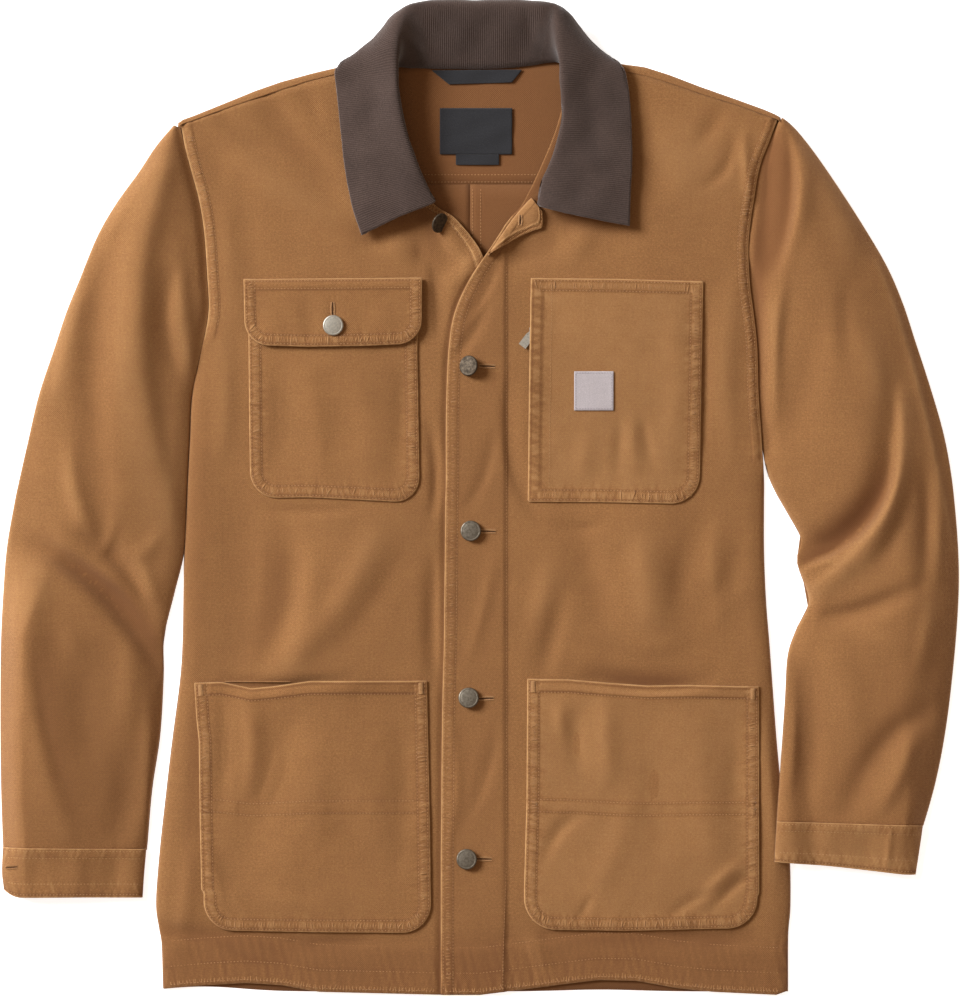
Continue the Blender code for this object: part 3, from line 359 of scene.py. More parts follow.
def stitches(name, paths, material=thread_look, slot="duck", pitch=2.9, size=(1.9, 0.36, 0.36),
             turned=0.0, uneven=0.0, tone=0.0):
    """Topstitching. Along each path of points and normals a stitch lies every pitch: a small bean of three
    rings of four points between two tips, its ends sunk into the cloth. Turned square to the path and
    uneven in place, lean and size, such beans are the puckers that a double row draws the cloth into."""
    draw = np.random.default_rng(len(name) * 7 + len(paths))
    length, half, high = size
    bean = [(-length / 2, 0, -0.3)]
    for along_it, thick in ((-0.3, 0.75), (0.0, 1.0), (0.3, 0.75)):
        ring = ((1, 0), (0, 1), (-1, 0), (0, -1))
        bean += [(along_it * length, y * half * thick, z * high * thick) for y, z in ring]
    bean = np.array(bean + [(length / 2, 0, -0.3)])
    faces = []
    for k in range(4):
        after = (k + 1) % 4
        faces += [(0, 1 + after, 1 + k), (13, 9 + k, 9 + after)]
        for ring in (1, 5):
            low, low_after = ring + k, ring + after
            faces += [(low, low_after, low_after + 4), (low, low_after + 4, low + 4)]
    points = []
    for line, up in paths:
        run = run_of(line)
        at = np.arange(pitch / 2, run[-1] - pitch / 3, pitch)
        at = at + draw.uniform(-0.3, 0.3, len(at)) * pitch * uneven

        def read(values, where):
            return np.stack([np.interp(where, run, values[:, k]) for k in range(3)], axis=1)

        normal = read(up, at)
        normal /= np.linalg.norm(normal, axis=1, keepdims=True)
        way = read(line, at + 0.8) - read(line, at - 0.8)
        way -= normal * (way * normal).sum(axis=1, keepdims=True)
        way /= np.linalg.norm(way, axis=1, keepdims=True)
        lean = (turned + draw.normal(0, 0.22, len(at)) * uneven)[:, None]
        side = np.cross(normal, way)
        way, side = way * np.cos(lean) + side * np.sin(lean), side * np.cos(lean) - way * np.sin(lean)
        scale = 1 + draw.uniform(-0.35, 0.3, (len(at), 1, 3)) * uneven
        middle = read(line, at) + normal * (0.12 if tone == 0 else -0.1)
        axes = np.stack([way, side, normal], axis=1)
        points.append(middle[:, None, :] + np.einsum("nkj,njc->nkc", bean * scale, axes))
    points = np.concatenate(points)
    faces = (np.array(faces)[None] + len(bean) * np.arange(len(points))[:, None, None]).reshape(-1, 3)
    points = points.reshape(-1, 3)
    add_piece(name, points, [faces], material, slot, points[:, :2], np.full(len(points), tone))


def on_surface(surface, p, q, reach=0.6):
    """Points and normals of a surface function along a path of its two parameters."""
    along = surface(p + reach, q) - surface(p - reach, q)
    across = surface(p, q + reach) - surface(p, q - reach)
    up = np.cross(along, across)
    up *= np.sign(up[:, 2:])
    return surface(p, q), up / np.linalg.norm(up, axis=1, keepdims=True)


def laid_on(surface, paths, reach=0.6):
    return [on_surface(surface, *path, reach) for path in paths]


def run_through(*corners, step=1.0):
    """Points a step apart along straight lines from corner to corner."""
    corners = np.array(corners, float)
    run = run_of(corners)
    at = np.linspace(0, run[-1], max(2, int(run[-1] / step) + 1))
    return np.interp(at, run, corners[:, 0]), np.interp(at, run, corners[:, 1])


for name, line, way in (("back_right", right_line, -1), ("back_left", left_line, 1)):
    height = np.linspace(BACK_HEM, YOKE_SEAM - 0.05, 163)
    side = side_at(np.maximum(height, line[0, 1]), line)[0] + way * 0.1
    centre = CENTRE_BACK + way * 0.03
    x = centre + (side - centre)[:, None] * graded(1.0, [0.0], 0.008, 0.02, 0.02)
    hem_lift = 4.2 * hump(x + 240.0, 46.0) + 1.6 * hump(x - 105.0, 45.0)
    y = height[:, None] + hem_lift * (YOKE_SEAM - height[:, None]) / (YOKE_SEAM - BACK_HEM)
    from_centre, from_hem = np.abs(x - centre), y - BACK_HEM
    groove = 0.35 * hump(from_centre - 2.0, 0.8) + 0.35 * hump(from_centre - 9.0, 0.8)
    groove = groove + 0.35 * hump(from_hem - 12.0, 0.9) + 0.25 * hump(np.abs(y - YOKE_SEAM) - 2.0, 0.8)
    points = np.stack([x, y, FLOOR_GAP + groove], axis=-1)[:, ::way]
    # Their inner faces, seen inside the neck, are darker: painted shade.
    cloth_piece(name, points, (290, 720), inside=-1.1, **UNDER_SIDE)


# Yoke
# One piece of canvas across the shoulders, cut whole. It is sewn to the backs below, runs up over the
# shoulders and ends in a felled seam on the fronts, so a narrow strip of it shows from above.

# The shoulder: x, y of its outline, y of the seam with the front
SHOULDER_LINE = (
    (-263, 326.5, 323.5), (-249, 331.5, 328.2), (-218, 344.0, 339.5), (-196, 353.0, 347.0),
    (-173, 361.0, 354.6), (-151, 367.0, 361.8), (-124, 374.4, 368.5), (-99, 376.5, 371.5), (-72, 375.2, 374.0),
    (0, 374.2, 373.0), (71, 378.8, 377.0), (99, 377.5, 372.5), (122, 377.6, 370.8), (143, 374.0, 367.0),
    (165, 367.0, 360.5), (191, 357.0, 351.5), (225, 345.0, 341.0), (247, 337.0, 333.0), (261, 331.0, 328.0),
)
TURN_FROM = 0.7  # share of the yoke's section where its turn over the shoulder begins


def yoke_section(x, share):
    """A section of the yoke at x, from its lower seam (share 0) to the front seam (share 1). It is flat up
    to the shoulder, then turns over through half an ellipse as high as the fronts; the turn fades out
    towards the neck."""
    past_end = 0.35 * np.maximum(np.abs(x) - 258.5, 0)
    crest = read_off(SHOULDER_LINE, x) + 1.3 * smooth((np.abs(x) - 110.0) / 40.0) - past_end
    seam = read_off(SHOULDER_LINE, x, 0, 2) + GAP - past_end
    strip = np.maximum(crest - seam, 3.2)
    turned = np.clip((np.abs(x) - 82.0) / 12.0, 0, 1)
    angle = np.pi * (np.clip((share - TURN_FROM) / (1 - TURN_FROM), 0, 1) - 0.5)
    y_flat = YOKE_SEAM + GAP / 2 + (crest - strip - YOKE_SEAM) * np.clip(share / TURN_FROM, 0, 1)
    y_turned = crest - strip + strip * np.cos(angle) + (seam - crest + strip) * (angle / np.pi + 0.5)
    z_turned = LOFT / 2 * (1 + np.sin(angle)) * turned
    under_collar = 5.0 * np.clip((92.0 - np.abs(x)) / 6.0, 0, 1) + 6.0 * hump(np.abs(x) - 77.0, 9.0)
    y_plain = crest - strip + (strip + under_collar) * (angle / np.pi + 0.5)
    over = share > TURN_FROM
    return np.where(over, y_plain + (y_turned - y_plain) * turned, y_flat), np.where(over, z_turned, 0.0)


share = np.concatenate([graded(TURN_FROM, [0.0], 0.02, 0.03, 0.02)[:-1], np.linspace(TURN_FROM, 1.0, 25)])
steps = COARSE * math.ceil(len(share) / COARSE)
share = np.interp(np.linspace(0, 1, steps + 1), np.linspace(0, 1, len(share)), share)[:, None]
low_x = (side_at(YOKE_SEAM, right_line)[0] + 0.6, side_at(YOKE_SEAM, left_line)[0] - 0.6)
right_x, left_x = (low + (top - low) * smooth(share / TURN_FROM) for low, top in zip(low_x, (-262.8, 261.6)))
across = np.linspace(0, 1, 241)
x = right_x * (1 - across) + left_x * across
y, z = yoke_section(x, np.broadcast_to(share, x.shape))
z = z + FLOOR_GAP + 0.35 * hump(share - 0.985, 0.006) * (z > 1)
points = np.stack([x, y, z], axis=-1)
# Its inner face, seen inside the neck, is darker: painted shade.
cloth_piece("back_yoke", points, (525, 125), ["back_right", "back_left"], inside=-1.1, **UNDER_SIDE)
rows = [run_through((CENTRE_BACK + d, 200), (CENTRE_BACK + d, YOKE_SEAM - 2)) for d in (2.2, 9.2)]
rows += [run_through((-52, YOKE_SEAM + d), (56, YOKE_SEAM + d)) for d in (2.2, 8.5)]
stitches("thread_back", laid_on(lambda x, y: np.stack([x, y, 0 * x + CLOTH - 0.05], axis=-1), rows))


# Fronts
# Two panels of duck canvas. The left one laps the right one and carries the placket; both are hemmed at
# the bottom with two rows of stitching, sewn to the sleeves above and rolled under along the sides.

ROLL = 17.0
HEM_ROWS = (19.0, 41.0)
ARMHOLE_ROWS = (2.2, 9.5)
EDGE_ROWS, UNDER_ROWS = (2.0, 10.5), (2.0, 8.5)
PLACKET_STITCH = 23.0
FAR = 99.0  # stands for no armhole beside a free side
LINING_EDGE = -159.8  # height of the pocket's second layer behind the dip in the right pocket's mouth

# The front hem's edge: it lifts off the back's hem in two places
HEM_LINE = (
    (-276, -427.2), (-240, -424.0), (-204, -422.0), (-173, -424.0), (-140, -429.8), (-70, -431.5),
    (-34, -432.4), (0, -432.4), (35, -428.0), (70, -423.5), (103, -419.5), (136, -420.2), (170, -426.3),
    (203, -429.8), (258, -432.4), (268, -428.9),
)

# Folds of the fronts: start, middle and end of each arc, half width on its left and right, height
FRONT_FOLDS = (
    (-228, 335, -205, 315, -176, 304, 5, 7, -1.4), (-184, 347, -158, 308, -120, 273, 9, 15, -3.0),
    (-160, 358, -146, 343, -138, 333, 4, 5, -1.2), (-214, 300, -216, 240, -214, 150, 14, 10, 1.2),
    (-243, 312, -215, 265, -205, 200, 18, 14, -1.6), (-216, 300, -170, 268, -118, 240, 12, 12, 1.8),
    (-100, 262, -80, 236, -62, 205, 16, 14, 1.4), (-40, 222, -38, 180, -36, 142, 8, 5, -2.2),
    (212, 338, 202, 324, 190, 308, 7, 9, -1.3), (219, 312, 213, 286, 193, 272, 5, 7, -1.4),
    (230, 318, 231, 292, 234, 262, 5, 4, 1.6), (140, 335, 150, 290, 165, 255, 14, 18, -1.6),
    (100, 265, 92, 235, 78, 205, 12, 14, 1.3), (30, 262, 38, 230, 34, 205, 8, 9, -1.2),
    (-212, 20, -206, -60, -218, -155, 14, 22, -2.4), (-176, -14, -166, -82, -199, -152, 10, 24, -2.2),
    (-88, -28, -116, -90, -170, -150, 20, 15, 3.4), (-76, -50, -102, -96, -152, -142, 14, 18, -1.6),
    (-192, -10, -150, -12, -110, -10, 6, 4, -1.2), (-44, 62, -38, 20, -42, -14, 5, 5, -2.2),
    (-40, -55, -41, -110, -39, -162, 5, 8, -2.4), (-142, -40, -150, -100, -165, -155, 13, 14, 1.6),
    (26, 102, 27, 35, 52, -20, 9, 5, -1.5), (83, -22, 97, -66, 116, -120, 14, 15, -2.3),
    (60, -22, 82, -26, 104, -24, 5, 6, -1.2), (60, -55, 56, -84, 48, -114, 12, 10, 1.4),
    (142, -30, 146, -70, 152, -118, 17, 15, 2.6), (188, -26, 177, -62, 178, -104, 13, 12, -1.5),
    (231, -38, 216, -72, 193, -98, 11, 11, -0.8), (69, -92, 62, -125, 54, -152, 8, 9, -1.6),
    (206, -20, 204, -60, 208, -110, 10, 9, 1.3), (90, -118, 130, -138, 180, -140, 8, 8, -1.2),
    (84, -156, 138, -164, 194, -162, 14, 5, -4.4), (-222, -158, -184, -163, -116, -157, 5, 6, -3.0),
    (198, 170, 197, 100, 196, 40, 4, 4, -1.0), (222, 190, 214, 110, 220, 30, 11, 11, 1.6),
    (-224, 150, -222, 80, -228, 30, 9, 11, 1.4), (-282, -366, -250, -380, -180, -386, 6, 8, -2.2),
    (-178, -386, -140, -388, -98, -387, 5, 8, -1.8), (-226, -384, -204, -400, -168, -406, 5, 5, -1.4),
    (-196, -386, -181, -394, -158, -402, 5, 5, -1.1), (-250, -300, -255, -345, -262, -390, 10, 7, 1.4),
    (60, -380, 140, -384, 236, -382, 6, 8, -2.0), (178, -384, 205, -387, 232, -384, 7, 7, -0.9),
    (40, -380, 52, -398, 62, -422, 9, 7, 1.4), (250, -190, 253, -250, 258, -330, 5, 7, 1.5),
    (-30, 182, -6, 205, 26, 250, 8, 9, 1.9), (8, 170, -8, 140, -24, 120, 5, 6, -1.3),
    (16, 205, 4, 178, -10, 158, 4, 6, -1.1), (12, 60, 4, 20, -12, -8, 5, 6, -0.9),
    (10, -60, 2, -100, -10, -140, 6, 6, 0.9), (14, -200, 6, -240, -10, -276, 5, 7, -0.8),
    (-24, -196, -20, -250, -26, -300, 5, 5, 0.8), (-52, 252, -46, 228, -52, 205, 9, 7, -2.6),
    (-30, 236, -20, 216, -6, 202, 7, 8, 1.6), (24, 214, 46, 216, 74, 226, 11, 12, -3.4),
    (-100, 220, -72, 232, -42, 247, 8, 9, -2.2), (46, 240, 84, 239, 126, 231, 8, 9, -2.4),
    (-64, 236, -42, 220, -24, 196, 13, 15, -3.2), (-118, 262, -96, 244, -80, 232, 8, 8, 1.2),
)

# Broad swells of the fronts, where air and the layers below hold them up
FRONT_SWELLS = (
    (-120, 40, -110, -60, -150, -160, 60, 46, 4.2), (-150, 60, -140, 140, -120, 230, 60, 50, 2.6),
    (150, 20, 146, -60, 150, -150, 44, 44, 3.6), (120, 60, 128, 130, 120, 220, 56, 52, 2.2),
    (-150, -180, -140, -270, -130, -400, 70, 60, 2.6), (140, -180, 146, -270, 150, -400, 70, 60, 2.4),
)

# Painted shade on the fronts, as arcs like the folds: the collar's shadows, shadows in the pockets'
# mouths, and darker bands along the sides and in broad hollows. Below 0 it is painted light, paler
# near the left shoulder, where the softbox's light falls off.
FRONT_SHADE = (
    (-112, 230, -74, 241, -38, 256, 9, 10, 0.75), (48, 252, 88, 243, 134, 236, 9, 11, 0.7),
    (-50, 252, -40, 236, -28, 222, 10, 9, 0.5), (-100, 236, -102, 285, -116, 330, 5, 5, 0.35),
    (134, 232, 136, 290, 134, 335, 6, 8, 0.5), (88, -150, 138, -157, 190, -155, 7, 5, 0.6),
    (-110, -40, -136, -92, -160, -150, 30, 26, 0.12), (-238, -165, -242, -200, -247, -240, 9, 9, 0.3),
    (-238, 110, -246, -20, -250, -150, 12, 16, 0.4), (-180, -30, -176, -88, -206, -152, 6, 18, 0.35),
    (-246, -150, -250, -260, -256, -370, 12, 7, 0.4), (130, 318, 176, 296, 222, 300, 34, 34, -0.22),
    (112, -157, 146, -160, 182, -159, 3.0, 3.0, 0.55),
    (-222, -161.5, -192, -162.8, -164, -161.5, 2.4, 2.0, 0.8),
)


def folds(x, y, table):
    """Folds in the cloth. Each runs on an arc through three points; its height is peak * sine taper *
    exp(-(distance / half width)^2), with one half width on the left of its way and one on its right."""
    total = np.zeros(x.shape)
    parts = 12
    t = np.linspace(0, 1, parts + 1)
    for x0, y0, x1, y1, x2, y2, left, right, peak in table:
        cx, cy = 2 * x1 - (x0 + x2) / 2, 2 * y1 - (y0 + y2) / 2
        ax = (1 - t) ** 2 * x0 + 2 * t * (1 - t) * cx + t**2 * x2
        ay = (1 - t) ** 2 * y0 + 2 * t * (1 - t) * cy + t**2 * y2
        reach = 2.8 * max(left, right)
        near = (x > ax.min() - reach) & (x < ax.max() + reach)
        near &= (y > ay.min() - reach) & (y < ay.max() + reach)
        if not near.any():
            continue
        px, py = x[near], y[near]
        nearest, place, side = np.full(px.shape, 1e9), np.zeros(px.shape), np.zeros(px.shape)
        for k in range(parts):
            sx, sy = ax[k + 1] - ax[k], ay[k + 1] - ay[k]
            dx, dy = px - ax[k], py - ay[k]
            share = np.clip((dx * sx + dy * sy) / (sx * sx + sy * sy), 0, 1)
            away = (dx - share * sx) ** 2 + (dy - share * sy) ** 2
            better = away < nearest
            nearest = np.where(better, away, nearest)
            place = np.where(better, (k + share) / parts, place)
            side = np.where(better, (sx * dy - sy * dx) / math.hypot(sx, sy), side)
        width = (left + right) / 2 + (left - right) / 2 * np.tanh(side / (0.3 * (left + right)))
        taper = np.sin(np.pi * (0.06 + 0.88 * place)) ** 0.8
        total[near] += peak * taper * hump(np.sqrt(nearest + 0.3), width)
    return total


def hem_at(x):
    return read_off(HEM_LINE, x)


def shoulder_seam_at(x):
    return read_off(SHOULDER_LINE, x, 0, 2)


def free_edge_at(y, line):
    return read_off(line, y, 3, 2)


def sewn(distance, rows, edge=1.1):
    """A stitched border: 0.4 higher between its edge and its last row, drawn down to a groove at each row
    and rounded off over its first millimetre."""
    height = 0.4 * smooth((rows[-1] + 2.0 - distance) / 4.0)
    for row in rows:
        height = height - 0.24 * hump(distance - row, 0.8)
    return height - 0.5 * hump(np.maximum(distance, 0), edge)


def puckers(distance, along, rows, seed, slant=0.35):
    """Small humps between the stitched rows and just past the last, leaning along the seam."""
    width = max(rows[-1], 4.0)
    window = hump((distance - 0.5 * width) / (0.6 * width + 1.5), 1.0)
    lean, back = along + slant * distance, along - 0.8 * slant * distance
    return window * (0.7 * ripple(lean, seed) + 0.5 * ripple(back, seed + 300))


def lining_ridge(x, y, width):
    """The lower pocket's second layer showing above its dipped mouth, between x -224 and -160."""
    return hump(y - LINING_EDGE, width) * smooth((x + 224) / 8) * smooth((-160 - x) / 8)


def borders(x, y, line, way):
    """Distances from a front's side, armhole, hem and free edge, and how open its side is."""
    side, open_ = side_at(y, line)
    inside = np.maximum((side - x) * way, 0)
    armhole = np.where(open_ < 0.5, inside, FAR)
    return inside, armhole, y - hem_at(x), (x - free_edge_at(y, line)) * way, open_


def front_height(x, y, line, way):
    """Height of a front's outer face. Its side comes down to the layer below through a quarter ellipse
    17 wide; the armhole sinks to its seam; the placket lies one layer up, where it laps the other front."""
    inside, armhole, hem, edge, open_ = borders(x, y, line, way)
    turn = open_ * np.clip(1 - inside / ROLL, 0, 1)
    height = LOFT + 1.35 * folds(x, y, FRONT_FOLDS) + folds(x, y, FRONT_SWELLS)
    height = height + 0.10 * waves(x, y, 11 if way < 0 else 12, 14, 28, 80) + 0.02 * waves(x, y, 13, 18, 7, 16)
    height = height - 3.9 * smooth((78.0 - hem) / 80.0)
    height = 3.0 + 0.8 * np.logaddexp(0, (height - 3.0) / 0.8)  # a soft floor 3 above the surface
    height = height + 0.7 * smooth((42.0 - hem) / 3.0) + 0.8 * lining_ridge(x, y, 1.0) + sewn(hem, HEM_ROWS)
    height = height + 0.16 * puckers(hem, x, HEM_ROWS[:1], 21, 0.25)
    height = height + 0.12 * puckers(hem - 30, x, (20,), 22, 0.2)
    height = height + sewn(armhole, ARMHOLE_ROWS) + 0.13 * puckers(armhole, y, ARMHOLE_ROWS, 23)
    seam = shoulder_seam_at(x) - y
    height = height - 1.6 * hump(armhole, 4.0) + 0.7 * sewn(seam, (2.0,)) + 0.16 * puckers(seam, x, (3,), 24)
    if way > 0:
        height = height + 1.55 * smooth((PLACKET_STITCH + 2 - x) / 5.0) * smooth((330 - y) / 120)
        height = height + 0.9 * sewn(edge, EDGE_ROWS) + 0.15 * puckers(edge, y, EDGE_ROWS, 25)
        height = height - 0.3 * hump(x - PLACKET_STITCH, 0.8) * smooth((215 - y) / 15)
        height = height + 0.12 * hump(x - PLACKET_STITCH, 5) * ripple(y, 26)
    else:
        under_placket = x - free_edge_at(y, left_line) + 1.0
        height = height - 1.2 * hump(under_placket, 2.6) * smooth((205 - y) / 20)
        height = height + sewn(edge, UNDER_ROWS) * smooth((y - 120) / 40) + 0.12 * puckers(edge, y, UNDER_ROWS, 27)
    return RIM + (height - RIM) * np.sqrt(1 - turn**2)


def front_plan(table, share):
    """Plan positions over a front: rows from side to free edge, the first bent to the hem's edge and the
    last to the shoulder seam."""
    table = np.array(table)
    t = even_places(table, 307)
    rows = curve_at(table, t)
    x = rows[:, 0:1] + (rows[:, 2:3] - rows[:, 0:1]) * share
    y = rows[:, 1:2] + (rows[:, 3:4] - rows[:, 1:2]) * share
    low, high = np.clip(1 - t, 0, 1)[:, None], np.clip(t - (len(table) - 2), 0, 1)[:, None]
    y = y + low * (hem_at(x) - read_off(rows[0, :4].reshape(2, 2), x))
    return x, y + high * (shoulder_seam_at(x) - read_off(rows[-1, :4].reshape(2, 2), x))


def worn(relief, distance, rows=()):
    """Wear value: paler on high puckers and in a thin line along an edge, darker down in the grooves."""
    value = np.clip(0.75 * relief, -0.45, 0.45) + 0.95 * hump(np.maximum(distance, 0), 1.3)
    for row in rows:
        value = value - 1.0 * hump(distance - row, 0.9)
    return value


front_share = graded(290.0, [0.0, 2.2, 9.5, 250.0, 267.0, 280.0, 288.0, 290.0], 0.9, 2.1) / 290.0
for name, table, line, way, back in (
    ("front_right", RIGHT_FRONT, right_line, -1, "back_right"),
    ("front_left", LEFT_FRONT, left_line, 1, "back_left"),
):
    x, y = front_plan(table, front_share)
    points = np.stack([x, y, front_height(x, y, line, way)], axis=-1)
    inside, armhole, hem, edge, open_ = borders(x, y, line, way)
    relief = 0.3 * puckers(hem, x, HEM_ROWS[:1], 21, 0.25) + 0.35 * puckers(edge, y, EDGE_ROWS, 25)
    relief = relief + 0.3 * puckers(armhole, y, ARMHOLE_ROWS, 23)
    # The fronts' table of painted shade darkens this value.
    wear = worn(relief, np.minimum(np.minimum(hem, edge), armhole)) - folds(x, y, FRONT_SHADE)
    for distance, groove, width, depth in (
        (edge, 10.5, 0.8, 0.5), (armhole, 9.5, 0.8, 0.6), (hem, 19.0, 0.8, 0.5), (hem, 41.0, 0.9, 0.5),
    ):
        wear = wear - depth * hump(distance - groove, width)
    # Painted shade: darker down in the folds' hollows, most near the hem, and the hem band darker still; the
    # folds' crests are a little paler, as wear.
    near_hem = smooth((74 - hem) / 30)
    on_folds = (0.07 + 0.14 * near_hem) * folds(x, y, FRONT_FOLDS)
    wear = wear + np.clip(on_folds, -0.45, 0.12 + 0.1 * near_hem) - 0.6 * smooth((72 - hem) / 50)
    wear = wear + 0.15 * ripple(x + 0.25 * hem, 28) * smooth((43.0 - hem) / 4.0)
    if way < 0:
        under_placket = x - free_edge_at(y, left_line) + 0.6
        wear = wear + 0.7 * hump(edge - 8.0, 1.0) * smooth((y - 195) / 10) + 0.8 * lining_ridge(x, y, 1.2)
        # Painted shadow of the placket's edge, a dark line on the right front beside it.
        wear = wear - 0.8 * hump(under_placket, 2.2) * smooth((205 - y) / 20)
    else:
        wear = wear - 0.3 * hump(x - PLACKET_STITCH, 0.9) - 0.2 * smooth(PLACKET_STITCH + 1 - x)
        # Painted shade under the collar, along the left front's top edge.
        wear = wear - 1.2 * smooth((y - 238) / 12) * hump(np.maximum(edge, 0), 14.0)
    cloth_piece(name, points[:, ::-way], (310, 830), [back, "back_yoke"], wear=wear[:, ::-way])


def front_surface(line, way):
    return lambda x, y: np.stack([x, y, front_height(x, y, line, way)], axis=-1)


right_surface, left_surface = front_surface(right_line, -1), front_surface(left_line, 1)


def edge_path(front, distance, low, high):
    """A path a distance inside a front's free edge, between two heights."""
    line, way = front
    y = np.arange(low, high, 1.0)
    return free_edge_at(y, line) + way * distance, y


def side_path(front, distance, low, high):
    line, way = front
    y = np.arange(low, high, 1.0)
    return side_at(y, line)[0] - way * distance, y


def hem_path(distance, low, high):
    x = np.arange(low, high, 1.0)
    return x, hem_at(x) + distance


SEAM_BAR = dict(pitch=2.7, size=(5.6, 0.8, 0.36), turned=math.pi / 2, uneven=1.0, tone=0.28)
RIGHT, LEFT = (right_line, -1), (left_line, 1)
y = np.arange(-428.0, 205.0, 1.0)
rows = [edge_path(LEFT, d, -428, 206) for d in EDGE_ROWS]
rows.append((PLACKET_STITCH - 3.0 * smooth((-300 - y) / 120), y))
rows += [hem_path(d, -30, 262) for d in (3.0, *HEM_ROWS)] + [side_path(LEFT, d, 62, 322) for d in ARMHOLE_ROWS]
bars = [side_path(LEFT, 6.0, 70, 318), edge_path(LEFT, 6.2, -424, 206), hem_path(4.0, -30, 262)]
stitches("thread_front_left", laid_on(left_surface, rows, 0.5))
stitches("puckers_front_left", laid_on(left_surface, bars, 0.5), duck, **SEAM_BAR)
rows = [hem_path(d, -270, -36) for d in (3.0, *HEM_ROWS)]
for distance in ARMHOLE_ROWS:
    rows += [side_path(RIGHT, distance, 150, 318), edge_path(RIGHT, distance, 200, 262)]
bars = [side_path(RIGHT, 6.0, 155, 316), edge_path(RIGHT, 5.2, 204, 262), hem_path(4.0, -270, -36)]
stitches("thread_front_right", laid_on(right_surface, rows, 0.5))
stitches("puckers_front_right", laid_on(right_surface, bars, 0.5), duck, **SEAM_BAR)
x = np.arange(-222.0, -163.0, 1.0)
lining_edge = laid_on(right_surface, [(x, 0 * x + LINING_EDGE - 0.1)], 0.5)
stitches("lining_edge_right", lining_edge, duck, pitch=1.5, size=(2.4, 0.8, 0.8), tone=0.25)


# Patch pockets
# Pieces of the same canvas with turned edges, sewn on with two rows of stitching: two large ones low
# down, open at the top, and two chest pockets.

PATCH_RISE = GAP + CLOTH
POCKET_ROWS = (2.0, 10.4)
MOUTH_ROW = 11.0
POCKET_BAR = dict(pitch=2.7, size=(6.8, 0.85, 0.42), turned=math.pi / 2, uneven=1.0, tone=0.32)


class Patch:
    """A patch piece between four measured edges. p runs from its -X edge and q up from its bottom, in
    millimetres along the cut. Near a rounded corner the pair of distances (a, b) from the arc's centre is
    drawn in to length max(a, b), so lines at one distance from the edge bend round the corner."""

    def __init__(self, left, right, bottom, top, corners):
        self.left, self.right, self.bottom, self.top, self.corners = left, right, bottom, top, corners
        self.low, self.high = np.mean([p[1] for p in bottom]), np.mean([p[1] for p in top])
        middle = (self.low + self.high) / 2
        self.width = float(read_off(right, middle) - read_off(left, middle))
        self.height = self.high - self.low

    def plan(self, p, q):
        p, q = np.broadcast_arrays(np.asarray(p, float), np.asarray(q, float))
        for at_left, radius in zip((True, False), self.corners):
            a, b = radius - p if at_left else p - (self.width - radius), radius - q
            rounded = (a > 0) & (b > 0)
            scale = np.where(rounded, np.maximum(a, b) / np.maximum(np.hypot(a, b), 1e-6), 1.0)
            p = np.where(rounded, radius - a * scale if at_left else self.width - radius + a * scale, p)
            q = np.where(rounded, radius - b * scale, q)
        left, right = read_off(self.left, self.low + q), read_off(self.right, self.low + q)
        x, share = left + (right - left) * p / self.width, q / self.height
        return x, read_off(self.bottom, x) * (1 - share) + read_off(self.top, x) * share

    def edge_distance(self, p, q):
        return np.minimum(np.minimum(np.minimum(p, self.width - p), q), self.height - q)

    def border(self, p, q, rows, seed, top_rows=()):
        """Relief of the stitched sides and bottom, and of the hem across the mouth."""
        sides = np.minimum(p, self.width - p)
        share = smooth(0.5 + (q - sides) / 5.0)
        distance = np.minimum(sides, q)
        ripples = share * puckers(distance, q + np.where(p < self.width / 2, 0, 400), rows, seed)
        ripples = ripples + (1 - share) * puckers(distance, p, rows, seed + 1)
        height = sewn(distance, rows)
        if len(top_rows):
            mouth = self.height - q
            height = height + smooth((distance - rows[-1]) / 4.0) * sewn(mouth, top_rows)
            ripples = ripples + 0.8 * puckers(mouth, p, top_rows, seed + 2) * smooth((sides - 6) / 6)
        return height, ripples

    def rows(self, *distances, top=()):
        """Stitched paths in p and q: round the sides and bottom, and across the mouth."""
        w, h = self.width, self.height
        found = [run_through((d, h - 0.8), (d, d), (w - d, d), (w - d, h - 0.8)) for d in distances]
        return found + [run_through((2.5, h - d), (w - 2.5, h - d)) for d in top]


def patch_piece(name, patch, surface, lines_p, lines_q, rows, seed, cut, under, thread_rows, bars,
                coarse=1.7, extra=None, tone=0.0, tacks=False):
    """Makes a patch pocket from its surface function and stitches it down."""
    w, h = patch.width, patch.height
    p, q = np.meshgrid(graded(w, [0, *lines_p, w], 0.85, coarse), graded(h, [0, *lines_q, h], 0.85, coarse))
    ripples = patch.border(p, q, rows, seed)[1] + (extra(q) if extra else 0.0)
    wear = worn(0.55 * ripples, patch.edge_distance(p, q), rows) + tone
    cloth_piece(name, surface(p, q), cut, [under], wear=wear)
    stitches("thread_" + name, laid_on(surface, thread_rows))
    if tacks:
        ends = [run_through((at, h - 1.5), (at, h - 11.5), step=0.4) for at in (5.2, w - 5.2)]
        stitches("tacks_" + name, laid_on(surface, ends), pitch=0.75, size=(5.5, 0.5, 0.6), turned=math.pi / 2)
    stitches("puckers_" + name, laid_on(surface, bars), duck, **POCKET_BAR)


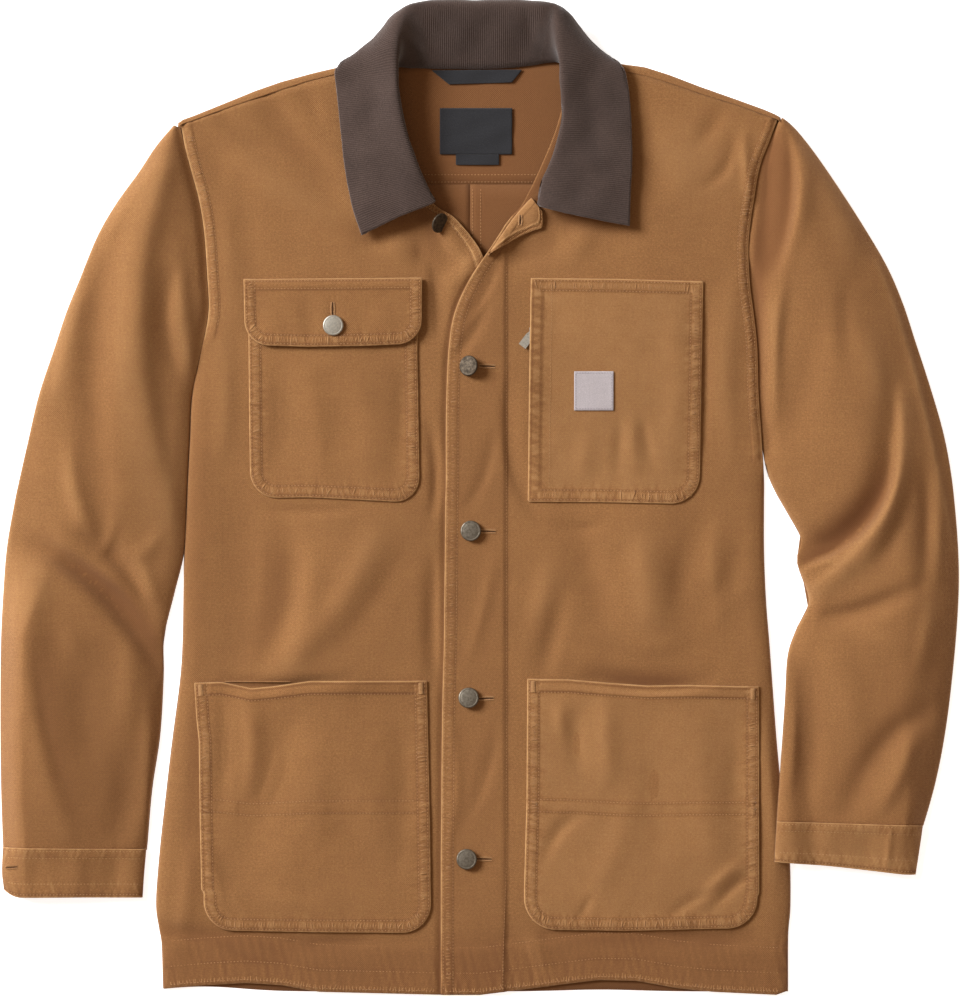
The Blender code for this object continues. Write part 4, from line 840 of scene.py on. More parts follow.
LOWER_RIGHT = Patch(
    left=((-376, -240.2), (-345, -240.2), (-343, -242.2), (-283.6, -243.6), (-212.3, -244.5), (-193, -246.6),
        (-160, -248.6)),
    right=((-378, -42.6), (-354, -42.6), (-283.6, -43.5), (-159, -46.1)),
    bottom=((-242, -374.5), (-216.6, -376.5), (-150, -377.6), (-66, -378.3), (-42, -378)),
    top=((-249, -161.0), (-225, -160.1), (-199, -165.6), (-181, -164.0), (-147, -159.4), (-46, -159.2)),
    corners=(24.0, 25.0),
)
LOWER_LEFT = Patch(
    left=((-376, 38.6), (-341, 38.4), (-261.9, 40.6), (-157, 41.2)),
    right=((-376, 241.2), (-347, 241.3), (-345, 242.8), (-164, 242.7)),
    bottom=((38, -374.5), (67, -375.8), (126, -376.7), (195, -375.0), (242, -374)),
    top=((41, -157.6), (76.6, -157.8), (112, -161.0), (146, -163.4), (181, -162.8), (243, -164.2)),
    corners=(26.0, 26.0),
)
CHEST_RIGHT = Patch(
    left=((-4, -199.6), (60, -200.5), (190, -201.8)),
    right=((-4, -52.3), (60, -53.2), (130, -54.4), (190, -53.2)),
    bottom=((-200, -0.4), (-150, 0.6), (-100, -1.8), (-52, -4.4)),
    top=((-202, 189.0), (-53, 189.6)),
    corners=(23.5, 22.5),
)
CHEST_LEFT = Patch(
    left=((-5, 41.6), (10, 41.8), (100, 43.0), (191, 44.4)),
    right=((-5, 190.6), (24, 191.4), (187, 194.2)),
    bottom=((41, -3.4), (100, -3.6), (150, -4.6), (191, -5.4)),
    top=((44, 191.2), (120, 190.4), (194, 188.2)),
    corners=(2.0, 25.0),
)

# Folds of the pockets themselves, as for the fronts
LOWER_RIGHT_FOLDS = (
    (-203, -172, -198, -212, -201, -258, 10, 8, 2.2), (-223, -170, -222, -220, -224, -262, 8, 8, -1.6),
    (-172, -184, -176, -232, -214, -320, 16, 18, -1.8), (-142, -186, -140, -252, -186, -342, 24, 20, 1.4),
    (-110, -200, -96, -262, -84, -330, 20, 16, 1.2), (-74, -190, -66, -250, -70, -320, 10, 12, -1.3),
    (-130, -268, -104, -300, -64, -330, 14, 12, -1.2), (-236, -300, -230, -330, -222, -352, 6, 7, 1.1),
    (-186, -346, -160, -352, -128, -362, 7, 9, 1.0), (-216, -342, -206, -356, -190, -366, 4, 6, 1.0),
)
LOWER_LEFT_FOLDS = (
    (110, -176, 110, -208, 112, -246, 10, 9, 2.0), (84, -186, 84, -214, 88, -244, 8, 9, -1.7),
    (70, -178, 70, -192, 74, -210, 7, 6, 1.2), (86, -278, 69, -290, 57, -314, 5, 7, -1.5),
    (236, -328, 221, -339, 203, -357, 4, 6, -1.5), (201, -343, 182, -352, 166, -363, 4, 6, -1.3),
    (228, -318, 211, -330, 194, -348, 6, 5, 1.4), (96, -348, 92, -356, 86, -365, 4, 4, -1.0),
    (146, -190, 152, -250, 150, -320, 16, 16, -1.4), (190, -200, 196, -262, 206, -330, 14, 16, 1.6),
    (128, -270, 118, -310, 100, -350, 12, 13, 1.1), (224, -190, 222, -240, 226, -290, 8, 9, -1.1),
)
CHEST_RIGHT_FOLDS = (
    (-176, 120, -172, 70, -176, 20, 13, 12, -1.5), (-112, 128, -96, 70, -96, 14, 18, 14, 1.3),
    (-150, 110, -140, 60, -140, 10, 9, 11, 0.9), (-70, 120, -68, 70, -74, 20, 7, 8, -1.0),
)
CHEST_LEFT_FOLDS = (
    (52, 186, 60, 168, 86, 150, 12, 14, -1.4), (122, 66, 121, 44, 120, 18, 5, 6, -1.1),
    (140, 70, 145, 52, 150, 28, 5, 6, -1.0), (131, 70, 133, 50, 136, 24, 6, 5, 0.9),
    (168, 170, 172, 100, 166, 30, 14, 12, 1.3), (96, 60, 92, 35, 90, 10, 9, 9, 1.0),
)
CROSS_ROWS = (-264.0, -274.5)


def lower_pocket(patch, base, table, seed):
    """Height of a lower pocket: one layer above the front, its mouth standing a little off it, its lower
    half doubled behind two rows of stitching across it."""

    def surface(p, q):
        x, y = patch.plan(p, q)
        height, ripples = patch.border(p, q, POCKET_ROWS, seed, (2.0, MOUTH_ROW))
        middle = np.sin(np.pi * np.clip(p / patch.width, 0, 1))
        mouth = 5.0 * middle * np.exp(-np.maximum(patch.height - q, 0) / 20)
        cross = sum(-0.22 * hump(y - row, 0.8) for row in CROSS_ROWS)
        cross = cross + 0.35 * smooth((CROSS_ROWS[0] + 1 - y) / 2)
        cross = cross + 0.16 * hump(y - sum(CROSS_ROWS) / 2, 7) * ripple(x, seed + 5)
        z = base(x, y)[..., 2] + PATCH_RISE + height + 0.15 * ripples + mouth + cross
        z = z + 1.2 * folds(x, y, table) + 0.07 * waves(x, y, seed + 6, 14, 18, 50)
        return np.stack([x, y, z], axis=-1)

    return surface


def chest_pocket(patch, base, table, seed, gape):
    """Height of a chest pocket; gape lifts its zipped front edge off the front."""

    def surface(p, q):
        x, y = patch.plan(p, q)
        height, ripples = patch.border(p, q, POCKET_ROWS, seed, POCKET_ROWS if gape else ())
        level = (np.clip(q / patch.height, 0, 1) - 0.08) / 0.92
        lift = gape * np.exp(-p / 14.0) * np.sin(np.pi * np.clip(level, 0, 1) ** 1.2)
        z = base(x, y)[..., 2] + PATCH_RISE + height + 0.14 * ripples + lift
        z = z + 1.2 * folds(x, y, table) + 0.06 * waves(x, y, seed + 6, 14, 18, 50)
        return np.stack([x, y, z], axis=-1)

    return surface


# The left side's lower pocket gets a higher tone: painted light, paler where the softbox's light falls off.
for side, patch, base, table, seed, tone in (
    ("right", LOWER_RIGHT, right_surface, LOWER_RIGHT_FOLDS, 31, 0.0),
    ("left", LOWER_LEFT, left_surface, LOWER_LEFT_FOLDS, 41, 0.16),
):
    w, h = patch.width, patch.height
    cross = [row - patch.low for row in CROSS_ROWS]
    paths = patch.rows(*POCKET_ROWS, top=(MOUTH_ROW,)) + [run_through((11, at), (w - 11, at)) for at in cross]

    def dark_rows(q):
        return -1.4 * sum(hump(q - at, 1.1) for at in cross) - 0.8 * hump(q - h + MOUTH_ROW, 1.1)

    patch_piece(
        f"lower_pocket_{side}", patch, lower_pocket(patch, base, table, seed), [2, 10.4, w - 10.4, w - 2],
        [2, 10.4, *cross, h - 11, h - 2], POCKET_ROWS, seed, (205, 235), f"front_{side}", paths,
        patch.rows(6.2), extra=dark_rows, tone=tone, tacks=True,
    )
w = CHEST_RIGHT.width
patch_piece(
    "chest_pocket_right", CHEST_RIGHT, chest_pocket(CHEST_RIGHT, right_surface, CHEST_RIGHT_FOLDS, 51, 0.0),
    [2, 10.4, w - 10.4, w - 2], [2, 10.4], POCKET_ROWS, 51, (150, 195), "front_right",
    CHEST_RIGHT.rows(*POCKET_ROWS), CHEST_RIGHT.rows(6.2), coarse=1.6,
)
w, h = CHEST_LEFT.width, CHEST_LEFT.height
chest_left = chest_pocket(CHEST_LEFT, left_surface, CHEST_LEFT_FOLDS, 61, 3.6)
paths = [
    run_through((1.5, 2), (w - 2, 2), (w - 2, h - 2), (1.5, h - 2)),
    run_through((10, 10.4), (w - 10.4, 10.4), (w - 10.4, h - 10.4), (2, h - 10.4)),
    run_through((18.4, 12), (18.4, h - 3)),
]
# Its tone is painted light, paler where the softbox's light falls off.
patch_piece(
    "chest_pocket_left", CHEST_LEFT, chest_left, [2, 18.4, w - 10.4, w - 2], [2, 10.4, h - 10.4, h - 2],
    POCKET_ROWS, 61, (150, 198), "front_left", paths,
    [run_through((12, 6.2), (w - 6.2, 6.2), (w - 6.2, h - 6.2), (4, h - 6.2))], coarse=1.6, tone=0.2,
)


# Pocket flap
# A flap of two layers of canvas with rounded lower corners, over the right chest pocket's mouth. It is
# sewn down along its top and closes with one button.

FLAP = Patch(
    left=((130, -203.8), (160, -204.8), (192, -205.4)),
    right=((130, -50.6), (160, -50.6), (192, -50.4)),
    bottom=((-205, 133.2), (-150, 131.4), (-100, 132.2), (-50, 134.6)),
    top=((-206, 190.2), (-120, 191.0), (-50, 191.6)),
    corners=(20.5, 20.5),
)
FLAP_FOLDS = (
    (-150, 176, -147, 152, -144, 134, 9, 9, -1.3), (-188, 168, -180, 150, -184, 136, 10, 9, 1.0),
    (-90, 172, -84, 154, -86, 138, 12, 12, 0.9), (-127, 168, -126, 156, -127, 140, 6, 6, -0.9),
)


def flap_surface(p, q):
    x, y = FLAP.plan(p, q)
    height, ripples = FLAP.border(p, q, (2.0, 9.6), 71, (2.0, 8.6))
    z = right_surface(x, y)[..., 2] + 2 * PATCH_RISE + 1.4 + height + 0.15 * ripples + folds(x, y, FLAP_FOLDS)
    z = z + 0.8 * smooth((30 - q) / 30) - 1.5 * hump(FLAP.height - q, 3.0)
    return np.stack([x, y, z], axis=-1)


w, h = FLAP.width, FLAP.height
patch_piece(
    "chest_flap", FLAP, flap_surface, [2, 9.6, w - 9.6, w - 2], [2, 9.6, h - 8.6, h - 2], (2.0, 9.6), 71,
    (157, 62), "chest_pocket_right", FLAP.rows(2.0, 9.6, top=(2.0, 8.6)), FLAP.rows(5.8), coarse=1.4,
)


# Sleeves
# Two-piece sleeves: an upper panel that arches over a flat under panel, joined along both edges and
# set into the armhole above. Old creases from wearing cross them at the elbow.

WAY = {"right": -1, "left": 1}
SLEEVE_ROLL = 15.0

# Sleeve caps, a row for each section of the armhole from the shoulder down: outer x, outer y, arch
RIGHT_CAP = (
    (-278.4, 306.2, 3.0), (-297.5, 282.8, 6.0), (-316.7, 256.6, 8.0), (-333.2, 227.9, 9.0),
    (-348.9, 189.7, 10.0), (-360.2, 161.8, 10.0), (-370.6, 130.5, 10.0), (-384.1, 89.6, 10.0),
    (-392.8, 48.7, 10.0), (-399.3, 13.9, 10.0), (-403.2, -5.2, 10.0), (-410.6, -43.5, 10.0),
)
LEFT_CAP = (
    (274.1, 321.9, 3.0), (288.8, 305.4, 6.0), (307.1, 278.4, 8.0), (332.3, 238.4, 9.0), (353.2, 200.1, 10.0),
    (366.3, 169.7, 10.0), (378.4, 137.5, 10.0), (392.4, 95.7, 10.0), (405.9, 54.8, 10.0),
)
# Sleeves below the armhole: outer x, outer y, inner x, inner y, arch
RIGHT_ARM = (
    (-414.1, -84.4, -266.2, -81.8, 10.0), (-415.9, -120.9, -275.4, -120.9, 10.0),
    (-416.5, -160.9, -275.8, -154.9, 10.0), (-416.5, -206.2, -278.8, -206.2, 10.0),
    (-415.9, -254.0, -285.8, -254.0, 9.0), (-415.4, -304.5, -290.3, -306.2, 8.0),
)
LEFT_ARM = (
    (410.2, 20.9, 249.4, 26.1, 10.0), (412.8, -12.2, 256.6, 7.0, 10.0), (415.7, -43.5, 269.4, -15.7, 10.0),
    (416.3, -69.6, 279.6, -35.6, 10.0), (415.4, -95.7, 276.4, -56.0, 10.0), (413.2, -126.2, 286.2, -89.6, 10.0),
    (409.8, -160.9, 275.8, -114.0, 10.0), (406.3, -188.8, 268.0, -137.5, 10.0),
    (401.9, -221.0, 265.4, -175.7, 10.0), (395.0, -249.7, 262.7, -214.9, 10.0),
    (390.6, -268.0, 260.1, -254.0, 9.0), (386.1, -285.4, 258.0, -281.9, 8.0),
)
SHOULDER_POINT = {"right": (-265.0, 324.5, -261.0, 322.0), "left": (263.8, 331.0, 260.0, 327.5)}
SLEEVE_SEAM = ((345, 204, 378, 110, 411, -44, 1.8, 1.8, 1.0),)

SLEEVE_FOLDS = (
    # right sleeve, above the elbow
    (-276, 286, -298, 150, -268, -24, 12, 20, 4.0), (-325, 222, -336, 100, -324, -44, 14, 16, -3.6),
    (-343, 214, -358, 140, -366, 84, 16, 10, 2.6), (-355, 44, -350, 0, -328, -42, 8, 8, 2.2),
    (-332, -50, -322, -36, -318, -14, 6, 5, 1.0), (-264, 214, -256, 150, -249, 100, 8, 9, 2.4),
    (-264, 204, -273, 152, -261, 106, 7, 9, -1.8), (-392, 90, -396, 30, -398, -30, 14, 12, -1.4),
    (-378, 160, -386, 110, -392, 60, 8, 10, 1.6), (-306, 268, -322, 238, -332, 208, 12, 12, 1.2),
    # right sleeve, elbow creases and forearm
    (-394, -38, -332, -76, -279, -146, 15, 9, -6.6), (-352, -30, -314, -55, -282, -104, 11, 7, -3.6),
    (-372, -34, -338, -56, -306, -80, 8, 7, 2.2), (-302, -52, -289, -72, -284, -92, 8, 8, 2.6),
    (-304, -50, -288, -44, -278, -28, 7, 7, 1.0), (-386, -56, -386, -140, -350, -298, 16, 20, 3.8),
    (-362, -112, -354, -124, -344, -138, 9, 9, 1.0), (-306, -116, -303, -158, -310, -204, 14, 14, 2.6),
    (-346, -150, -342, -200, -334, -250, 14, 14, -1.4), (-312, -222, -308, -260, -318, -302, 16, 14, -1.9),
    (-288, -178, -287, -240, -292, -296, 6, 7, 1.6), (-381, -105, -375, -190, -346, -288, 14, 9, -2.8),
    # left sleeve, above the elbow
    (262, 186, 256, 140, 255, 70, 7, 9, 3.4), (322, 236, 298, 130, 262, 40, 24, 20, -2.6),
    (264, 318, 269, 262, 256, 200, 5, 12, -5.0), (251, 322, 250, 262, 245, 196, 10, 11, -4.6),
    (279, 308, 280, 262, 262, 196, 9, 6, 2.0), (320, 250, 308, 150, 290, 60, 16, 16, 1.8),
    (318, 186, 317, 150, 321, 116, 8, 8, -1.2), (300, 292, 316, 240, 330, 190, 14, 15, 1.6),
    (345, 204, 378, 110, 411, -44, 5, 4, 1.7), (352, 190, 384, 106, 412, -40, 8, 7, -1.7),
    (330, 150, 344, 110, 350, 76, 12, 12, 1.6),
    # left sleeve, elbow and forearm
    (359, 92, 356, 50, 350, 12, 5, 13, -2.4), (356, 34, 331, -25, 266, -60, 3.6, 17, -7.8),
    (366, 86, 357, -6, 288, -82, 12, 6, 4.6), (374, 60, 368, 0, 348, -56, 9, 10, -2.4),
    (291, -104, 330, -98, 378, -78, 8, 9, -3.4), (286, -58, 304, -54, 320, -63, 4, 4, 1.4),
    (283, -94, 286, -97, 292, -99, 3, 3, -1.4), (384, 32, 388, -20, 384, -74, 7, 8, -2.0),
    (398, 20, 399, -30, 396, -80, 6, 7, 1.5), (392, -88, 388, -120, 380, -152, 10, 8, 2.0),
    (398, -182, 350, -216, 318, -280, 11, 12, -3.4), (374, -208, 364, -240, 346, -270, 8, 9, 2.4),
    (298, -130, 318, -170, 322, -214, 16, 16, 2.2), (284, -150, 290, -200, 286, -262, 9, 9, -1.8),
    (392, -200, 386, -240, 380, -282, 7, 8, -0.6), (330, -112, 352, -124, 374, -134, 8, 9, 1.6),
    (272, -160, 272, -210, 268, -256, 5, 6, 1.4),
)
# Painted shade on the sleeves, beside the left armhole, down in the elbow creases and along the right
# arm; where the height is below 0 it is painted light, paler instead
SLEEVE_SHADE = (
    (255, 328, 257, 262, 249, 186, 15, 13, 1.1), (241, 232, 242, 140, 246, 40, 7, 6, 1.0),
    (354, 24, 329, -24, 268, -58, 3.4, 15, 0.8), (352, 84, 349, 48, 340, 12, 13, 13, -0.2),
    (-300, 260, -306, 205, -316, 140, 24, 24, 0.1), (-258, 60, -264, 15, -274, -30, 12, 12, -0.14),
    (-360, -58, -312, -88, -274, -144, 8, 9, 0.8), (-380, -105, -374, -190, -346, -288, 14, 9, 0.4),
)
# Where the upper panel's crest lies, down the sleeve: y, share from the inner to the outer edge, height
CREST = {
    "right": ((320, 0.5, 6), (250, 0.5, 10), (120, 0.5, 10), (0, 0.52, 10), (-60, 0.72, 11),
        (-120, 0.84, 16), (-260, 0.84, 15), (-345, 0.8, 10)),
    "left": ((320, 0.5, 6), (250, 0.5, 12), (120, 0.55, 14), (0, 0.6, 14), (-60, 0.66, 14), (-140, 0.66, 13),
        (-280, 0.85, 10), (-322, 0.88, 8)),
}
LAP_RISE = LOFT + 0.9
UNDERARM = {"right": 10, "left": 13}  # the front's row where its armhole ends


def cuff_lap(x, y):
    """Lift of the left sleeve's end, which laps the side of the body: a smooth step 26 wide."""
    body = side_at(y, left_line)[0]
    return LAP_RISE * smooth(1 - (x - body) / 26.0) * smooth((-106.0 - y) / 60.0)


def across_rows(rows, u, t):
    """Rows read at the places t, and the plan position at share u from each row's first point to its
    second, with the distance between the two."""
    u, t = np.broadcast_arrays(np.asarray(u, float), np.asarray(t, float))
    row = curve_at(rows, t.ravel()).reshape(*t.shape, -1)
    x, y = (row[..., k] + (row[..., k + 2] - row[..., k]) * u for k in (0, 1))
    return u, t, row, x, y, np.hypot(row[..., 2] - row[..., 0], row[..., 3] - row[..., 1])


def sleeve_rows(side, table, cap, arm):
    """Inner x, y, outer x, y, arch and openness of the inner edge, from the shoulder to the cuff's seam."""
    way, body, point = WAY[side], np.array(table), SHOULDER_POINT[side]
    shared = body[len(body) - 2:UNDERARM[side] - 1:-1]
    cap, arm = np.array(cap), np.array(arm)
    inner = np.concatenate([[point[2:4]], shared[:, :2] + (way * 0.35, 0), arm[:, 2:4]])
    outer = np.concatenate([[point[0:2]], cap[:, :2], arm[:, :2]])
    if way > 0:
        outer[2:-1] = (outer[1:-2] + 2 * outer[2:-1] + outer[3:]) / 4
        outer[:, 0] += 3.0 * hump(outer[:, 1] - 195.0, 50.0)
    else:
        outer[:, 0] -= 4.0 * hump(outer[:, 1] - 310.0, 16.0) + 1.6 * hump(outer[:, 1] - 15.0, 45.0)
    outer[:, 0] += way * 1.2 * smooth((60.0 - outer[:, 1]) / 80.0) * smooth((outer[:, 1] + 286.0) / 30.0)
    arch = np.concatenate([[0.0], cap[:, 2], arm[:, 4]])
    open_ = np.concatenate([[0.0], shared[:, 4], np.ones(len(arm))])
    return np.concatenate([inner, outer, arch[:, None], open_[:, None]], axis=1)


def sleeve_arch(side, u, y):
    """Height of a sleeve's upper side over its edges at share u from the inner to the outer one: two
    slopes that meet in a rounded crest, from the crest table."""
    crest, arch = read_off(CREST[side], y), read_off(CREST[side], y, 0, 2)
    away = np.where(u < crest, (crest - u) / crest, (u - crest) / (1 - crest))
    return arch * (1 - (np.sqrt(away**2 + 0.09) - 0.3) / (math.sqrt(1.09) - 0.3))


def sleeve_surface(side, rows):
    """A point of the upper panel at share u from the inner to the outer edge and place t down the rows.
    Both open edges come down through a quarter ellipse, and a stitched armhole sinks to its seam."""
    way = WAY[side]

    def surface(u, t):
        u, t, row, x, y, length = across_rows(rows, u, t)
        open_, reach = np.clip(row[..., 5], 0, 1), np.minimum(SLEEVE_ROLL, 0.4 * length)
        inner_turn, outer_turn = (np.clip(1 - share * length / reach, 0, 1) for share in (u, 1 - u))
        turn = np.maximum(open_ * inner_turn, outer_turn)
        end = (len(rows) - 1 - t) * np.hypot(*(rows[-1, :2] - rows[-2, :2]))
        height = LOFT + sleeve_arch(side, u, y) * np.minimum(row[..., 4] / 6.0, 1.0)
        height = height + (1.35 - 1.2 * smooth((14.0 - end) / 13.0)) * folds(x, y, SLEEVE_FOLDS)
        height = height + 0.12 * waves(x, y, 81 if way < 0 else 82, 16, 30, 80)
        height = height + 0.02 * waves(x, y, 83, 18, 7, 18)
        inner, below = u * length, smooth((215 - y) / 40)
        if way < 0:
            armhole = 2.6 * hump(inner, 5.0)
        else:
            armhole = (1.2 + 3.8 * below) * hump(inner, 3.5 + 6.5 * below)
        height = height + (1 - open_) * (0.18 * puckers(inner, y, (5,), 84) - armhole)
        height = height - 0.25 * hump(end, 2.0) + 0.15 * hump(end, 9.0) * ripple(x, 86)
        floor = cuff_lap(x, y) if way > 0 else 0.0
        z = floor + RIM + (np.maximum(height, 3.2) - RIM) * np.sqrt(1 - turn**2)
        return np.stack([x, y, z], axis=-1)

    return surface


for side, table, cap, arm in (
    ("right", RIGHT_FRONT, RIGHT_CAP, RIGHT_ARM), ("left", LEFT_FRONT, LEFT_CAP, LEFT_ARM),
):
    way = WAY[side]
    rows = sleeve_rows(side, table, cap, arm)
    middle = np.concatenate([(rows[:, :2] + rows[:, 2:4]) / 2, rows[:, 4:]], axis=1)
    share = graded(135.0, [0.0, 135.0], 0.7, 1.7, 1.0) / 135.0
    u, t = np.meshgrid(share, even_places(middle, 268))
    points = sleeve_surface(side, rows)(u, t)
    x, y = points[..., 0], points[..., 1]
    length = np.hypot(*(points[:, -1, :2] - points[:, 0, :2]).T)[:, None]
    wear = 0.6 * folds(x, y, SLEEVE_SEAM) + 0.25 * hump(np.minimum(u, 1 - u) * length, 2.5)
    # Painted shade: the lower sleeves darker, darker down in the folds' hollows with their crests a little paler
    # as wear, and the sleeves' table of painted shade.
    wear = wear - (0.22 if way < 0 else 0.16) * smooth((-80 - y) / 70)
    wear = wear + np.clip(0.085 * folds(x, y, SLEEVE_FOLDS), -0.5, 0.15) - folds(x, y, SLEEVE_SHADE)
    points, wear = points[::-1, ::way], wear[::-1, ::way]
    cloth_piece(f"sleeve_upper_{side}", points, (190, 700), [f"sleeve_under_{side}"], wear=wear)
    u, t = np.meshgrid(np.linspace(0, 1, 31), even_places(middle, 88))
    row, x, y = across_rows(rows, u, t)[2:5]
    x = row[..., 0] + (row[..., 2] - row[..., 0]) * (-0.001 + 0.997 * u)
    z = FLOOR_GAP + (cuff_lap(x, y) if way > 0 else 0 * x)
    points = np.stack([x, y, z], axis=-1)[::-1, ::way]
    cloth_piece(f"sleeve_under_{side}", points, (165, 690), **UNDER_SIDE)


# Cuffs
# A band of canvas round the end of each sleeve, lying flat. It is stitched round both its edges and
# has a buttonhole near its outer corner.

# Cuffs, a row for each section from the seam down: outer x, outer y, inner x, inner y
RIGHT_CUFF = (
    (-415.6, -305.0, -290.4, -306.7), (-416.5, -325.0, -292.2, -326.0), (-414.9, -347.2, -293.6, -347.4),
)
LEFT_CUFF = (
    (385.9, -286.0, 257.9, -282.5), (383.0, -305.0, 256.6, -300.0), (379.6, -328.0, 255.9, -316.0),
)
CUFF_ROUNDING = {"right": 7.0, "left": 1.0}
CUFF_FOLDS = (
    (-352, -306, -350, -325, -352, -347, 10, 12, 1.6), (-322, -306, -318, -326, -322, -347, 9, 9, -1.2),
    (-384, -306, -386, -326, -382, -347, 9, 9, -1.0), (-304, -306, -304, -326, -306, -346, 6, 7, 0.8),
    (300, -284, 302, -302, 300, -320, 10, 12, 1.3), (334, -286, 336, -304, 334, -324, 10, 10, -1.2),
    (356, -286, 355, -306, 353, -327, 3, 3, 1.3), (368, -288, 370, -306, 368, -326, 7, 7, -1.2),
)
CUFF_WIDTH, CUFF_DEPTH = 128.0, 41.0
CUFF_EDGE_ROWS, CUFF_SEAM_ROWS = (2.4, 11.0), (2.2, 8.0)


def cuff_surface(side, table):
    """The outer face of a flat ring. k runs round the section, 0 to 1 over the top from the inner to the
    outer edge and 1 to 2 back along the bottom; t runs from 0 at the seam to 2 at the edge. Both turned
    edges are half ellipses."""
    rows = np.array(table)[:, [2, 3, 0, 1]]

    def surface(k, t):
        k, t = np.broadcast_arrays(np.asarray(k, float), np.asarray(t, float))
        top = k <= 1
        u, t, _, x, y, length = across_rows(rows, np.where(top, k, 2 - k), t)
        turn = np.maximum(np.clip(1 - u * length / 8.0, 0, 1), np.clip(1 - (1 - u) * length / 8.0, 0, 1))
        end = smooth(t - 1) * np.clip(1 - (1 - u) * length / 16.0, 0, 1) ** 2
        y = y + CUFF_ROUNDING[side] * end + 0.5 * waves(x, 0 * x, 91, 4, 30, 90) * t / 2
        y = y + 1.3 * np.clip(1 - 2 * t, 0, 1)
        down = t / 2 * CUFF_DEPTH
        height = LOFT + sleeve_arch(side, u, y) * (1 - 0.2 * t) + 0.5
        to_edge = CUFF_DEPTH - down
        relief = folds(x, y, CUFF_FOLDS) + sewn(to_edge, CUFF_EDGE_ROWS) + sewn(down, CUFF_SEAM_ROWS, 0.3)
        relief = relief + 0.15 * puckers(to_edge, x, CUFF_EDGE_ROWS, 92)
        relief = relief + 0.12 * puckers(down, x, CUFF_SEAM_ROWS, 93)
        floor = cuff_lap(x, y) if side == "left" else 0.0
        z = floor + height / 2 + np.where(top, height / 2 + relief, -height / 2) * np.sqrt(1 - turn**2)
        return np.stack([x, y, np.maximum(z, FLOOR_GAP)], axis=-1)

    return surface


for side, table in (("right", RIGHT_CUFF), ("left", LEFT_CUFF)):
    surface = cuff_surface(side, table)
    over = graded(CUFF_WIDTH, [0.0, CUFF_WIDTH], 0.6, 1.8, 1.0) / CUFF_WIDTH
    loop = np.concatenate([over, 1 + np.linspace(0, 1, 43)[1:-1]])
    steps = COARSE * (len(loop) // COARSE)
    loop = np.interp(np.linspace(0, 1, steps + 1)[:-1], np.linspace(0, 1, len(loop)), loop)
    k, down = np.meshgrid(loop, graded(CUFF_DEPTH, [0, 2.2, 8.0, 30.0, 38.6, 41.0], 0.7, 1.6))
    points = surface(k, down / CUFF_DEPTH * 2)
    relief = 0.5 * puckers(CUFF_DEPTH - down, points[..., 0], CUFF_EDGE_ROWS, 92)
    relief = relief + 0.4 * puckers(down, points[..., 0], CUFF_SEAM_ROWS, 93)
    wear = worn(relief, np.minimum(CUFF_DEPTH - down, down + 0.6)) - hump(38.6 - down, 0.9)
    # Painted light: the left cuff is paler where the softbox's light falls off.
    wear = wear + (0.15 if side == "left" else 0.0)
    grid = np.stack([k * CUFF_WIDTH, down], axis=-1)
    points, wear, grid = (part[::-WAY[side]] for part in (points, wear, grid))
    cloth_piece(f"cuff_{side}", points, (262, 42), [f"sleeve_upper_{side}"], grid=grid, wear=wear, ring=True)
    across = np.linspace(0.03, 0.97, 160)
    levels = [CUFF_DEPTH - d for d in CUFF_EDGE_ROWS] + list(CUFF_SEAM_ROWS)
    paths = [(across, 0 * across + level / CUFF_DEPTH * 2) for level in levels]
    stitches(f"thread_cuff_{side}", laid_on(surface, paths, 0.012))


# Collar
# One piece of fine-wale corduroy over a canvas stand. It rises from the neck seam, rolls over and falls
# open to two long points; its outer edge is topstitched.

# Collar, a row for each section from the front end to the back: seam x, y, z, roll x, y, z,
# shoulder x, y, z, outer edge x, y, z, all at the middle of the cloth
RIGHT_COLLAR = (
    (-47.0, 259.3, 7.8, -40.0, 256.6, 12.0, -69.6, 244.5, 9.8, -102.7, 228.8, 8.0),
    (-53.9, 271.4, 7.8, -47.9, 271.4, 14.0, -80.0, 262.7, 10.5, -110.5, 253.2, 8.0),
    (-65.2, 294.1, 7.8, -57.4, 291.4, 16.0, -87.9, 287.1, 11.0, -116.6, 283.6, 8.0),
    (-76.6, 320.2, 7.8, -66.1, 318.4, 17.5, -94.8, 315.8, 11.5, -120.1, 313.2, 8.2),
    (-81.0, 343.6, 7.8, -71.3, 342.8, 18.5, -98.3, 341.0, 12.0, -122.7, 339.3, 8.4),
    (-80.5, 360.2, 7.8, -73.1, 365.4, 19.0, -100.9, 363.7, 12.0, -124.8, 358.4, 8.8),
    (-72.2, 375.0, 5.4, -74.4, 389.8, 19.5, -103.5, 380.0, 12.5, -124.5, 374.0, 9.0),
    (-59.2, 375.0, 3.0, -71.3, 410.6, 20.0, -94.7, 398.0, 11.0, -108.7, 384.3, 4.5),
    (-41.8, 374.1, 2.8, -58.5, 425.0, 19.0, -78.0, 413.0, 8.0, -74.8, 389.8, 1.2),
    (-21.8, 374.1, 2.8, -32.2, 425.5, 17.5, -34.8, 426.0, 7.0, -30.4, 386.3, 1.2),
)
